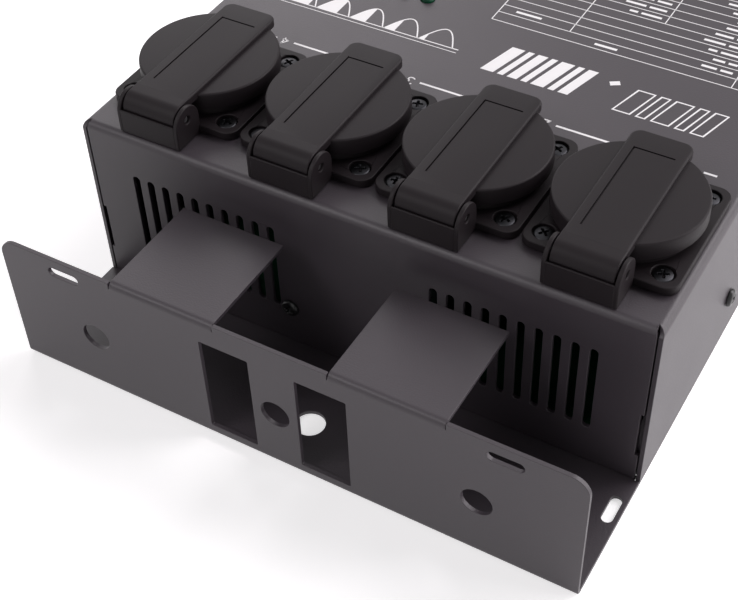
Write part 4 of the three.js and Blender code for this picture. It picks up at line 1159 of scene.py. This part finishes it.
@dataclass
class Lid:
    """A socket's sprung lid: cap, strap with finger tab, barrel and seal.

    Attributes:
        number, x: which socket it belongs to and where that stands.
        half: half the strap's width.
        top: height of the strap's upper face.
        end: the strap's free end.
        corner: radius of its corners there.
        edge: radius of its upper edges.
        groove_floor: height of the groove's floor.
    """

    number: int
    x: float
    half: float = 10.2
    top: float = 83.2
    end: float = -54.5
    corner: float = 3.5
    edge: float = 0.75
    groove_floor: float = 82.4

    @property
    def body(self) -> str:
        """The body that the lid's pieces ride on."""
        return f"lid_{self.number}"

    def strap_outline(self, inset: float) -> np.ndarray:
        """The strap from above, drawn in on its sides and its round-cornered free end.

        Args:
            inset: how far it is drawn in.

        Returns:
            The loop.
        """
        wide, root = self.half - inset, PLACE.hinge_y + 3.4
        reach, cy, r = self.half - self.corner, self.end - self.corner, self.corner - inset
        foot = [[self.x - wide, root], [self.x + wide, root]]
        corners = [(self.x + reach, 0), (self.x - reach, 90)]
        return np.concatenate([foot, *[arc(cx, cy, r, a, a + 90, 8) for cx, a in corners]])

    def groove(self) -> np.ndarray:
        """The fine L-shaped line cut down the strap's left side and across its far end.

        Returns:
            The loop.
        """
        left, right, width = self.x - 6.8, self.x + 6.8, 0.6
        near, far = PLACE.socket_y - 22.4, PLACE.socket_y + 18
        line = [(left, near), (left + width, near), (left + width, far - width)]
        return np.array([*line, (right, far - width), (right, far), (left, far)])

    def strap(self) -> None:
        """Makes the strap in two layers, so that the groove has a floor.

        The upper layer's walls draw in round a quarter circle. Its top and its underside leave the
        groove open, and the groove's own walls join them.
        """
        full, groove = self.strap_outline(0.0), self.groove()
        low, edge = self.groove_floor, self.edge
        bottom, chamfer, overlap = 80.2, 0.15, 0.15
        loops = [self.strap_outline(chamfer), full, full]
        form = Form().layers(loops, [bottom, bottom + chamfer, low + overlap])
        rows = [Axis.Z.level(full, low)]
        for c, s in arc(0, 0, edge, 0, 90, steps=5)[1:]:
            rows.append(Axis.Z.level(self.strap_outline(edge - c), self.top - edge + s))
        form.add(np.concatenate(rows), grid_faces(len(rows), len(full), False, True))
        for inset, height, way in ((edge, self.top, 1), (0.0, low, -1)):
            flat, faces = cut_flat(self.strap_outline(inset), [groove])
            form.add(Axis.Z.level(flat, height), faces[:, ::way].tolist())
        walls = np.concatenate([Axis.Z.level(groove, height) for height in (low, self.top)])
        form.add(walls, grid_faces(2, len(groove), False, True))
        form.piece(f"lid_strap_{self.number}", Look.MOULDING, body=self.body)

    def cap(self) -> None:
        """Makes the round cap, conical at its flank, with a rounded shoulder and a hollow below."""
        shoulder = arc(23.2, 81.0, 0.7, 0, 90, 7)[::-1]
        outer = [(0, 81.7), *shoulder.tolist(), (24.0, 76.0), (23.8, 75.55), (23.4, 75.5)]
        inner = [(22.8, 75.5), (22.6, 75.8), (22.5, 79.2), (22.0, 79.7), (0, 79.7)]
        form = Form().turned([*outer, *inner], (self.x, PLACE.socket_y, 0), segments=112)
        n = self.number
        form.piece(f"lid_cap_{n}", Look.MOULDING, f"socket_lid_{n}", body=self.body)

    def barrel(self) -> None:
        """Makes the barrel round the pin: a shell open below, with a bored core near each end.

        The shell's outline runs round the spring's pocket, up the barrel's front and back along
        the strap's root.
        """
        x, y, z = self.x, PLACE.hinge_y, PLACE.hinge_z
        r, half, pocket, core_r, core_ends = 5.19, 10.19, 3.9, 4.84, (6.5, 10.1)
        root = [(y + 4.6, z + 2.2), (y + 5.0, z + 2.4), (y + 5.0, z + r)]
        front = [(y + pocket, z - 3.4)]
        below = [arc(y, z, pocket, 240, 0, steps=28), front, arc(y, z, r, 319, 384, steps=12)]
        outline = np.concatenate([arc(y, z, r, 90, 248, steps=26), *below, root])
        form = Form().plate(outline, x - half, x + half, None, Axis.X)
        seat = [(y + 4.3, z + 2.2), (y + 4.3, z + 4.6)]
        core = np.concatenate([arc(y, z, core_r, 90, 384, steps=44), seat])
        bore = [circle(y, z, PLACE.pin_bore, steps=20)]
        for side in (-1, 1):
            low, high = sorted(x + side * end for end in core_ends)
            form.plate(core, low, high, bore, Axis.X)
        name = f"lid_barrel_{self.number}"
        form.piece(name, Look.MOULDING, body=self.body, bevel=0.5, segments=3)

    def seal(self) -> None:
        """Makes the soft ring under the cap."""
        ring = [(19.9, 78.75), (20.2, 78.55), (21.1, 78.55), (21.4, 78.75), (21.4, 79.4)]
        ring += [(19.9, 79.4)]
        form = Form().turned(ring, (self.x, PLACE.socket_y, 0), segments=96, closed=True)
        form.piece(f"seal_{self.number}", Look.RUBBER, f"lid_seal_{self.number}", body=self.body)

    def build(self) -> None:
        """Makes the lid's pieces."""
        self.cap()
        self.strap()
        self.barrel()
        self.seal()


@dataclass
class Controls:
    """Display, menu keys and status lamps on the top panel."""

    def display(self) -> None:
        """Makes the tinted pane with a soft edge, and three digits of unlit segments in it."""
        (x, y), width, height, corner, collar = PLACE.display, 41.4, 19.4, 0.7, 4
        pane = [
            rounded(x, y, width - 2 * inset, height - 2 * inset, corner - inset, steps=5)
            for inset in (0, 0, 0.15, 0.35)
        ]
        form = Form().layers(pane, [67.0, 69.1, 69.32, 69.4])
        foot = rounded(x, y, width + collar, height + collar, 1.5, steps=5)
        form.plate(foot, low=65.7, high=67.2)
        form.piece("display_pane", Look.WINDOW, "display_window")
        marks, pitch = Form(), 11.5
        for digit in range(3):
            for outline in self.segments(x + pitch * (1 - digit), y):
                marks.plate(outline, low=69.36, high=69.42)
        marks.piece("display_segments", Look.SEGMENT)

    def segments(self, x: float, y: float) -> list[np.ndarray]:
        """Seven bars with pointed ends and a point, read from the front, so turned half a circle.

        Args:
            x, y: the digit's middle.

        Returns:
            The loops.
        """
        width, height, thick, gap, lean = 6.4, 6.0, 0.62, 0.35, 0.1
        bar = np.array([[-1, 0], [-0.8, 1], [0.8, 1], [1, 0], [0.8, -1], [-0.8, -1]])
        level = bar * [width / 2 - gap, thick]
        upright = bar[:, ::-1] * [thick, height / 2 - gap]
        places = [(level, 0, v * height) for v in (-1, 0, 1)]
        places += [(upright, s * width / 2, v * height / 2) for s in (-1, 1) for v in (-1, 1)]
        loops = [shape + [dx, dy] for shape, dx, dy in places]
        turned = [np.column_stack([x - p[:, 0] - lean * p[:, 1], y - p[:, 1]]) for p in loops]
        return [*turned, circle(x - 4.6, y + 6.2, 0.6, 16)]

    def keys(self) -> None:
        """Makes the crowned keys, each with the collar that holds it under the panel."""
        low = [(0, 63.6), (2.0, 63.6), (2.0, 66.2), (5.7, 66.2), (5.7, 67.2), (4.5, 67.2)]
        crown = [(3.6 + 0.9 * c, 70.7 + 0.7 * s) for c, s in arc(0, 0, 1, 0, 90, 8).tolist()]
        hollow = [(2.8, 71.33), (1.4, 71.16), (0, 71.1)]
        for n, x in enumerate(PLACE.key_xs, 1):
            form = Form().turned([*low, *crown, *hollow], (x, PLACE.key_y, 0), segments=56)
            form.piece(f"key_cap_{n}", Look.KEY, f"menu_key_{n}", body=f"key_{n}")

    def lamps(self) -> None:
        """Makes the domed lenses, each on a foot."""
        foot = [(0, 57.8), (3, 57.8), (3, 58.8), (2.5, 58.8)]
        dome = [(2.5 * c, 69.1 + 2.5 * s) for c, s in arc(0, 0, 1, 0, 90, 14).tolist()]
        for n, x in enumerate(PLACE.lamp_xs, 1):
            form = Form().turned([*foot, *dome], (x, PLACE.lamp_y, 0), segments=40)
            form.piece(f"lamp_lens_{n}", Look.LENS, f"status_lamp_{n}")

    def build(self) -> None:
        """Makes the controls."""
        self.display()
        self.keys()
        self.lamps()


@dataclass
class DataConnector:
    """A three-pole data connector: coated plate, shell, contacts, latch and two screws.

    Attributes:
        node: the plain solid's name.
        x: where it stands.
        male: whether it has pins, not holes.
        mouth: the plate's outer face.
        ring: radius of the circle on which the contacts stand.
    """

    node: str
    x: float
    male: bool
    mouth: float = 122.3
    ring: float = 3.9

    def contacts(self) -> list[Point]:
        """The three contacts' places, as Z and X for outlines carried along Y."""
        z, x, r, turns = PLACE.connector_z, self.x, self.ring, np.radians([30, 150, 270])
        return [(z + r * math.sin(turn), x + r * math.cos(turn)) for turn in turns]

    def shell(self, screws: list[Point]) -> None:
        """Makes the plate and the shell with its back, its insert and its key.

        Args:
            screws: the screws' places, as Z and X.
        """
        z, x, mouth = PLACE.connector_z, self.x, self.mouth
        form, at, lip = Form(), (x, 0, z), mouth + 0.25
        opening, screw, pole, insert = 10.7, 1.6, 1.25, 8.3
        plate, latch = rounded(z, x, 31, 26, 2.5, steps=8), rounded(z + 13.1, x, 2.6, 6.5, 0.6, 4)
        key = rounded(z - 9.0, x, 1.6, 2.4, 0.3, steps=3)
        holes = [circle(z, x, opening, steps=72)]
        holes += [circle(a, b, screw, steps=24) for a, b in screws]
        form.plate(plate, 120.3, mouth, holes, Axis.Y)
        ring = [(9.6, 97), (11.8, 97), (11.8, 121), (11.8, mouth), (11.4, lip)]
        ring += [(10.0, lip), (9.6, mouth)]
        form.turned(ring, at, Axis.Y, 80, closed=True)
        form.turned([(0, 96.3), (11.5, 96.3), (11.5, 98), (0, 98)], at, Axis.Y, 76)
        if self.male:
            form.turned([(0, 97.5), (9.8, 97.5), (9.8, 106.3), (0, 106.3)], at, Axis.Y, 64)
        else:
            poles = [circle(a, b, pole, steps=24) for a, b in self.contacts()]
            form.plate(circle(z, x, insert, steps=64), 97, mouth, poles, Axis.Y)
            form.plate(latch, 122.0, 123.4, None, Axis.Y)
        form.plate(key, 106, mouth - 0.4, None, Axis.Y)
        form.piece(f"{self.node}_shell", Look.DIECAST, self.node, bevel=0.2)

    def build(self) -> None:
        """Makes the connector's pieces."""
        z, x, screw_z, screw_x = PLACE.connector_z, self.x, 12, 9.5
        screws = [(z - s * screw_z, x + s * screw_x) for s in (-1, 1)]
        self.shell(screws)
        if self.male:
            pins = Form()
            pin = [(0, 104), (1.2, 104), (1.2, 116.0), (0.8, 116.7), (0, 116.8)]
            for a, b in self.contacts():
                pins.turned(pin, (b, 0, a), Axis.Y, 24)
            pins.piece(f"{self.node}_pins", Look.BRASS)
        heads, turn, seat = Form(), outward((0, 1, 0)), self.mouth - 0.1
        radius, rise, crown = 2.7, 0.5, 0.5
        for k, (a, b) in enumerate(screws):
            heads.cross_head((b, seat, a), radius, rise, crown, turn, 0.4 + 0.9 * k)
        heads.piece(f"{self.node}_screws", Look.DARK_ZINC)


def fluted(shares: list[float], depth: float, flutes: int, segments: int) -> np.ndarray:
    """A factor on a turned form's radius that presses flutes into it.

    The factor is 1 less depth times share times the square of half of 1 plus the cosine of the
    angle times the number of flutes.

    Args:
        shares: how deep the flutes are at each point of the profile, from 0 to 1.
        depth: their full depth, as a share of the radius.
        flutes: how many there are.
        segments: steps round the form.

    Returns:
        The factor for each point and step.
    """
    angle = np.linspace(0, 2 * np.pi, segments, endpoint=False)
    share = np.array(shares)[:, None]
    return 1 - depth * share * (0.5 + 0.5 * np.cos(flutes * angle)) ** 2


@dataclass
class Fuse:
    """A fuse holder with its fluted screw cap, which has a driver slot."""

    number: int
    x: float

    def holder(self, at: Spot) -> None:
        """Makes the holder.

        Args:
            at: where its axis stands.
        """
        body = [(0, 88.3), (4, 88.3), (6.2, 90), (6.2, 114.2), (8, 114.2), (8, 118.2)]
        body += [(6.2, 118.2), (6.2, 120.3), (7.7, 120.3), (8, 120.6), (8, 122.3)]
        body += [(7.6, 122.8), (4.7, 122.8), (4.7, 117.5), (0, 117.5)]
        n = self.number
        Form().turned(body, at, Axis.Y, 64).piece(f"fuse_body_{n}", Look.BLACK, f"fuse_holder_{n}")

    def cap(self, at: Spot) -> None:
        """Makes the cap; two bows on its face leave the driver slot between them.

        Args:
            at: where its axis stands.
        """
        profile = [(0, 118.1), (4.4, 118.1), (4.4, 123.1), (6.3, 123.1), (6.6, 123.4)]
        profile += [(6.6, 128.9), (6.3, 129.6), (5.7, 130.0), (0, 130.0)]
        segments, flutes, depth = 96, 24, 0.035
        wave = fluted([0, 0, 0, 0.4, 1, 1, 0.5, 0, 0], depth, flutes, segments)
        form = Form().turned(profile, at, Axis.Y, segments, wave=wave)
        radius, half_slot, draw_in, middle = 5.6, 0.7, 0.965, [at[2], at[0]]
        skip = math.degrees(math.asin(half_slot / radius))
        for side in (0, 180):
            bow = arc(*middle, radius, side + skip, side + 180 - skip, steps=24)
            rows = [bow, bow, (bow - middle) * draw_in + middle]
            form.layers(rows, [129.5, 130.95, 131.1], Axis.Y)
        form.piece(f"fuse_knob_{self.number}", Look.BLACK, f"fuse_cap_{self.number}")

    def build(self) -> None:
        """Makes the fuse's pieces."""
        at = (self.x, 0.0, PLACE.connector_z)
        self.holder(at)
        self.cap(at)


@dataclass
class Gland:
    """The cable gland: hexagon, ribbed dome nut, lock nut and the insert round the open bore."""

    bore: float = 5.1

    def build(self) -> None:
        """Makes the gland's pieces."""
        bore, at = self.bore, (PLACE.gland_x, 0.0, PLACE.connector_z)
        middle = (at[2], at[0])
        hexagon, hole = circle(*middle, 11, 6), [circle(*middle, bore, 48)]
        form = Form().plate(hexagon, 120.3, 125.3, hole, Axis.Y)
        form.plate(hexagon, 114.2, 118.2, hole, Axis.Y)
        neck = [(bore, 109.2), (7.8, 109.2), (7.8, 125), (bore, 125)]
        form.turned(neck, at, Axis.Y, 64, closed=True)
        dome = [(bore, 125.1), (9.3, 125.1), (9.6, 125.5), (9.6, 131.3), (8.9, 133.4)]
        dome += [(7.6, 135.3), (6.6, 136.1), (5.9, 136.1), (bore, 134)]
        segments, ribs, depth = 120, 20, 0.03
        wave = fluted([0, 0.5, 1, 1, 0.8, 0.2, 0, 0, 0], depth, ribs, segments)
        form.turned(dome, at, Axis.Y, segments, True, wave)
        form.piece("gland_body", Look.BLACK, "cable_gland", bevel=0.25)
        ring = [(4.6, 126), (5.4, 126), (5.4, 135.6), (5.1, 135.9), (4.8, 135.7), (4.6, 135.2)]
        insert = Form().turned(ring, at, Axis.Y, 64, closed=True)
        insert.piece("gland_insert", Look.RUBBER)


STROKES: tuple[tuple[Point, ...], ...] = (
    ((0.2, 0.75), (0.5, 1), (0.5, 0)),
    ((0, 0.8), (0.15, 1), (0.75, 1), (0.9, 0.8), (0.9, 0.6), (0, 0), (0.95, 0)),
    (
        (0, 0.85),
        (0.2, 1),
        (0.7, 1),
        (0.9, 0.8),
        (0.55, 0.54),
        (0.9, 0.25),
        (0.7, 0),
        (0.2, 0),
        (0, 0.15),
    ),
    ((0.7, 0), (0.7, 1), (0, 0.3), (0.98, 0.3)),
)


@dataclass
class Print:
    """Light print on the top panel, read from the front: numbers and generic shapes in thin ink.

    Attributes:
        low, high: where the ink starts, just in the panel, and ends.
        form: the ink so far.
    """

    low: float = 68.97
    high: float = 69.035

    def __post_init__(self) -> None:
        """Starts with no ink."""
        self.form = Form()

    def line(self, width: float, *points: Point) -> None:
        """Draws a straight bar of ink between each point and the next.

        Args:
            width: the line's width.
            points: where it goes.
        """
        for a, b in zip(points, points[1:]):
            p, q = np.array(a, float), np.array(b, float)
            ahead = (q - p) / np.linalg.norm(q - p)
            side = np.array([-ahead[1], ahead[0]]) * width / 2
            bar = np.array([p - side, q - side, q + side, p + side])
            self.form.plate(bar, self.low, self.high)

    def digits(self) -> None:
        """Draws the channel's number beside each socket, and the rule that they interrupt."""
        y, ends = -48.6, [-93.0, 93.0]
        for strokes, x in zip(STROKES, PLACE.socket_xs):
            at = x + 8.5
            self.line(0.55, *[(at + 1.2 - 2.6 * u, -47.2 - 3.6 * v) for u, v in strokes])
            ends += [at - 3.6, at + 3.6]
        ends.sort()
        for a, b in zip(ends[::2], ends[1::2]):
            self.line(0.9, (a, y), (b, y))

    @staticmethod
    def slant(
        x: float, width: float, lean: float, low: float, high: float, inset: float = 0.0
    ) -> np.ndarray:
        """A slanted bar's outline.

        Args:
            x, width: where its foot starts, and how wide it is.
            lean: how much further its top starts.
            low, high: its foot and its top.
            inset: how far the outline is drawn in, for a hollow.

        Returns:
            The loop.
        """
        sharp, blunt = 1.2 * inset, 0.9 * inset
        foot = [(x + sharp, low + inset), (x + width - blunt, low + inset)]
        end, start = x + width + lean - sharp, x + lean + blunt
        return np.array([*foot, (end, high - inset), (start, high - inset)])

    def slanted(self) -> None:
        """Draws a row of solid slanted bars and a row of outlined ones, wide and narrow in turn."""
        lean, x = 4.5, 1.0
        for size in (7, 3.2, 5.2, 3.2, 7, 3.2, 5.2):
            width = 0.7 * size
            self.form.plate(self.slant(x, width, lean, -31.5, -15.0), self.low, self.high)
            x += width + 1.5
        self.line(2.2, (44.0, -19), (47.0, -17.2))
        lean, x = 4.5 * 0.86, 50.0
        for size in (8.5, 4.6, 8.5, 4.6, 6.4):
            width = 0.78 * size
            outline, hole = (self.slant(x, width, lean, -32.0, -17.8, t) for t in (0, 0.55))
            self.form.plate(outline, self.low, self.high, [hole])
            x += width + 1.7

    def humps(self) -> None:
        """Draws half waves on two level lines; a growing share of each is filled.

        Each wave's height is the sine of an angle that goes from 0 to half a turn along it.
        """
        base, tall, wide, pitch = -25.5, 9.5, 13.5, 14.2
        for k in range(6):
            start = -13.0 - pitch * k
            turn = np.linspace(0, np.pi, 25)
            xs, ys = start - wide * turn / np.pi, base + tall * np.sin(turn)
            self.line(0.5, *zip(xs, ys))
            cut = np.linspace(np.pi * (1 - (k + 1) / 6.5), np.pi, 18)
            fill = np.stack([start - wide * cut / np.pi, base + tall * np.sin(cut)], axis=1)
            loop = np.concatenate([fill, [[fill[0, 0], base]]])
            self.form.plate(loop, self.low + 0.002, self.high - 0.004)
        for width, y in ((0.45, base), (0.3, base - 1.9)):
            self.line(width, (-10.6, y), (-101.0, y))

    def table(self) -> None:
        """Draws an empty settings table: ruled rows, a few columns, and short strokes as words."""
        left, right, bottom, top, pitch, rule, word = -9.0, 100.5, -2.5, 92.4, 5.0, 0.35, 1.2
        for k in range(20):
            y = bottom + pitch * k + (0.4 if k else 0.0)
            self.line(rule, (left, y), (right, y))
        columns = ((left, bottom), (19.2, 2.9), (47.2, 22.9), (80.9, bottom), (right, bottom))
        for x, low in columns:
            self.line(rule, (x, low), (x, top + 0.5))
        cells = ((98.4, 2), (78.6, 2), (45.0, 2), (16.6, 1))
        for k in range(1, 19):
            y = bottom + pitch * k + 2.9
            for cell, (start, words) in enumerate(cells if k > 4 else cells[:2]):
                for place in range(words):
                    long = 3.2 + (k * 29 + cell * 17 + place * 11) % 5 * 1.15
                    self.line(word, (start, y), (start - long, y))
                    start -= long + 1.3
        self.line(word, (38.5, bottom + 2.6), (30.0, bottom + 2.6))
        self.line(word, (7.0, bottom + 8.0), (-3.0, bottom + 8.0))

    def build(self) -> None:
        """Makes the ink."""
        self.digits()
        self.slanted()
        self.humps()
        self.table()
        self.form.piece("panel_print", Look.INK)


@dataclass(frozen=True)
class Inside:
    """Inner pieces that show through slots and bores keep their solids and get their finish."""

    looks: tuple[tuple[str, Look], ...] = (
        ("heat_sink", Look.ALUMINIUM),
        ("power_board", Look.BOARD),
        ("transformer", Look.LAMINATED),
        ("terminal_block", Look.TERMINAL),
        ("control_board", Look.BOARD),
    )

    def build(self) -> None:
        """Gives each node its material."""
        for name, look in self.looks:
            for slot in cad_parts[name].material_slots:
                slot.material = LOOKS[look]
            log.info("%s looks like %s", name, look.value.name)


@dataclass(frozen=True)
class Lamp:
    """A square soft lamp aimed at the pack.

    Attributes:
        name: the lamp's name.
        place: where it stands, in metres.
        size: its side.
        power: its power in watts.
    """

    name: str
    place: Spot
    size: float
    power: float

    def build(self) -> None:
        """Makes the lamp and turns it to the pack's middle."""
        light = bpy.data.lights.new(self.name, "AREA")
        light.size = self.size
        light.energy = self.power
        light.color = (1, 0.957, 0.985)
        lamp = bpy.data.objects.new(self.name, light)
        lamp.location = self.place
        aim = Vector((0, 0, 0.04)) - Vector(self.place)
        lamp.rotation_euler = aim.to_track_quat("-Z", "Y").to_euler()
        bpy.context.scene.collection.objects.link(lamp)


@dataclass(frozen=True)
class Studio:
    """Pale floor, white surroundings, soft lamps and the photograph's viewpoint.

    Attributes:
        floor_size: half the floor's side, in metres.
        floor_drop: how far the floor lies under the pack, in metres.
        lamps: the lamps.
        azimuth, elevation, roll: the camera's turns, in degrees.
        eye: where the camera stands, in millimetres.
        lens, sensor: its lens and sensor width, in millimetres.
    """

    floor_size: float = 6.0
    floor_drop: float = 0.0005
    lamps: tuple[Lamp, ...] = (
        Lamp("right_softbox", (1.4, 0.6, 0.5), 1.0, 14),
        Lamp("top_softbox", (0.75, 1.0, 1.4), 1.2, 26),
        Lamp("back_softbox", (-1.05, 1.15, 1.05), 0.9, 7),
        Lamp("front_fill", (-0.6, -1.0, 1.1), 0.6, 6),
    )
    azimuth: float = 31.91
    elevation: float = 44.90
    roll: float = -2.54
    eye: Spot = (177.2, -393.8, 357.6)
    lens: float = 68.75
    sensor: float = 36

    def floor(self) -> None:
        """Makes a wide plain floor that grows to a white of its own away from the pack."""
        size, z = self.floor_size, -self.floor_drop
        mesh = bpy.data.meshes.new("floor")
        corners = [(-size, -size, z), (size, -size, z), (size, size, z), (-size, size, z)]
        mesh.from_pydata(corners, [], [(0, 1, 2, 3)])
        floor = bpy.data.objects.new("floor", mesh)
        bpy.context.scene.collection.objects.link(floor)
        material = bpy.data.materials.new("floor")
        material.use_nodes = True
        nodes, links = material.node_tree.nodes, material.node_tree.links
        shader = set_inputs(
            nodes["Principled BSDF"],
            {
                "Base Color": (0.9, 0.9, 0.9, 1),
                "Roughness": 1,
                "Specular IOR Level": 0,
                "Emission Color": (1, 1, 1, 1),
            },
        )
        place = nodes.new("ShaderNodeTexCoord")
        far = nodes.new("ShaderNodeVectorMath")
        far.operation = "LENGTH"
        fade = set_inputs(
            nodes.new("ShaderNodeMapRange"), {"From Min": 0.45, "From Max": 1.6, "To Min": 0.55}
        )
        fade.interpolation_type = "SMOOTHSTEP"
        links.new(place.outputs["Object"], far.inputs[0])
        links.new(far.outputs["Value"], fade.inputs["Value"])
        links.new(fade.outputs["Result"], shader.inputs["Emission Strength"])
        mesh.materials.append(material)

    def world(self) -> None:
        """Makes even light, with plain white to the camera, in reflections and through glass."""
        world = bpy.data.worlds.new("studio")
        world.use_nodes = True
        bpy.context.scene.world = world
        nodes, links = world.node_tree.nodes, world.node_tree.links
        fill = set_inputs(nodes["Background"], {"Color": (0.94, 0.87, 0.91, 1), "Strength": 0.14})
        white = set_inputs(nodes.new("ShaderNodeBackground"), {"Color": (1, 1, 1, 1)})
        ray = nodes.new("ShaderNodeLightPath")
        mix = nodes.new("ShaderNodeMixShader")
        seen = ray.outputs["Is Camera Ray"]
        for kind in ("Is Glossy Ray", "Is Transmission Ray"):
            either = nodes.new("ShaderNodeMath")
            either.operation = "MAXIMUM"
            links.new(seen, either.inputs[0])
            links.new(ray.outputs[kind], either.inputs[1])
            seen = either.outputs["Value"]
        links.new(seen, mix.inputs["Fac"])
        links.new(fill.outputs["Background"], mix.inputs[1])
        links.new(white.outputs["Background"], mix.inputs[2])
        links.new(mix.outputs["Shader"], nodes["World Output"].inputs["Surface"])

    def camera(self) -> None:
        """Sets up the photograph's viewpoint, as solved from points of the photograph."""
        az, el, roll = map(math.radians, (self.azimuth, self.elevation, self.roll))
        level = math.cos(el)
        back = Vector((math.sin(az) * level, -math.cos(az) * level, math.sin(el)))
        right = (-back).cross(Vector((0, 0, 1))).normalized()
        up = right.cross(-back)
        across = math.cos(roll) * right + math.sin(roll) * up
        above = -math.sin(roll) * right + math.cos(roll) * up
        data = bpy.data.cameras.new("camera")
        data.lens, data.sensor_width, data.clip_start = self.lens, self.sensor, 0.01
        camera = bpy.data.objects.new("camera", data)
        turn = Matrix((across, above, back)).transposed().to_4x4()
        camera.matrix_world = Matrix.Translation(Vector(self.eye) * MM) @ turn
        bpy.context.scene.collection.objects.link(camera)
        bpy.context.scene.camera = camera

    def build(self) -> None:
        """Sets up the picture."""
        bpy.context.scene.view_settings.view_transform = "Standard"
        self.floor()
        self.world()
        for lamp in self.lamps:
            lamp.build()
        self.camera()


def main() -> None:
    """Builds every sub-assembly and the studio."""
    logging.basicConfig(level=logging.INFO, format="%(name)s: %(message)s")
    Cover().build()
    Tray().build()
    for number, x in enumerate(PLACE.socket_xs, 1):
        Socket(number, x).build()
        Lid(number, x).build()
    for end, y in zip(("rear", "front"), PLACE.screw_ys):
        for side, way, spin in (("right", 1, 0.6), ("left", -1, 1.1)):
            seat = (way * PLACE.side, y, PLACE.screw_z)
            Screw(f"cover_screw_{side}_{end}", seat, (way, 0, 0), spin).build()
    for number, x in enumerate(PLACE.sink_xs, 1):
        seat = (x, PLACE.rear, PLACE.sink_z)
        Screw(f"heat_sink_screw_{number}", seat, (0, -1, 0), 0.3 + number).build()
    Controls().build()
    for node, x, male in zip(("dmx_input", "dmx_output"), PLACE.data_xs, (True, False)):
        DataConnector(node, x, male).build()
    for number, x in enumerate(PLACE.fuse_xs, 1):
        Fuse(number, x).build()
    Gland().build()
    Print().build()
    Inside().build()
    Studio().build()


if __name__ == "__main__":
    main()
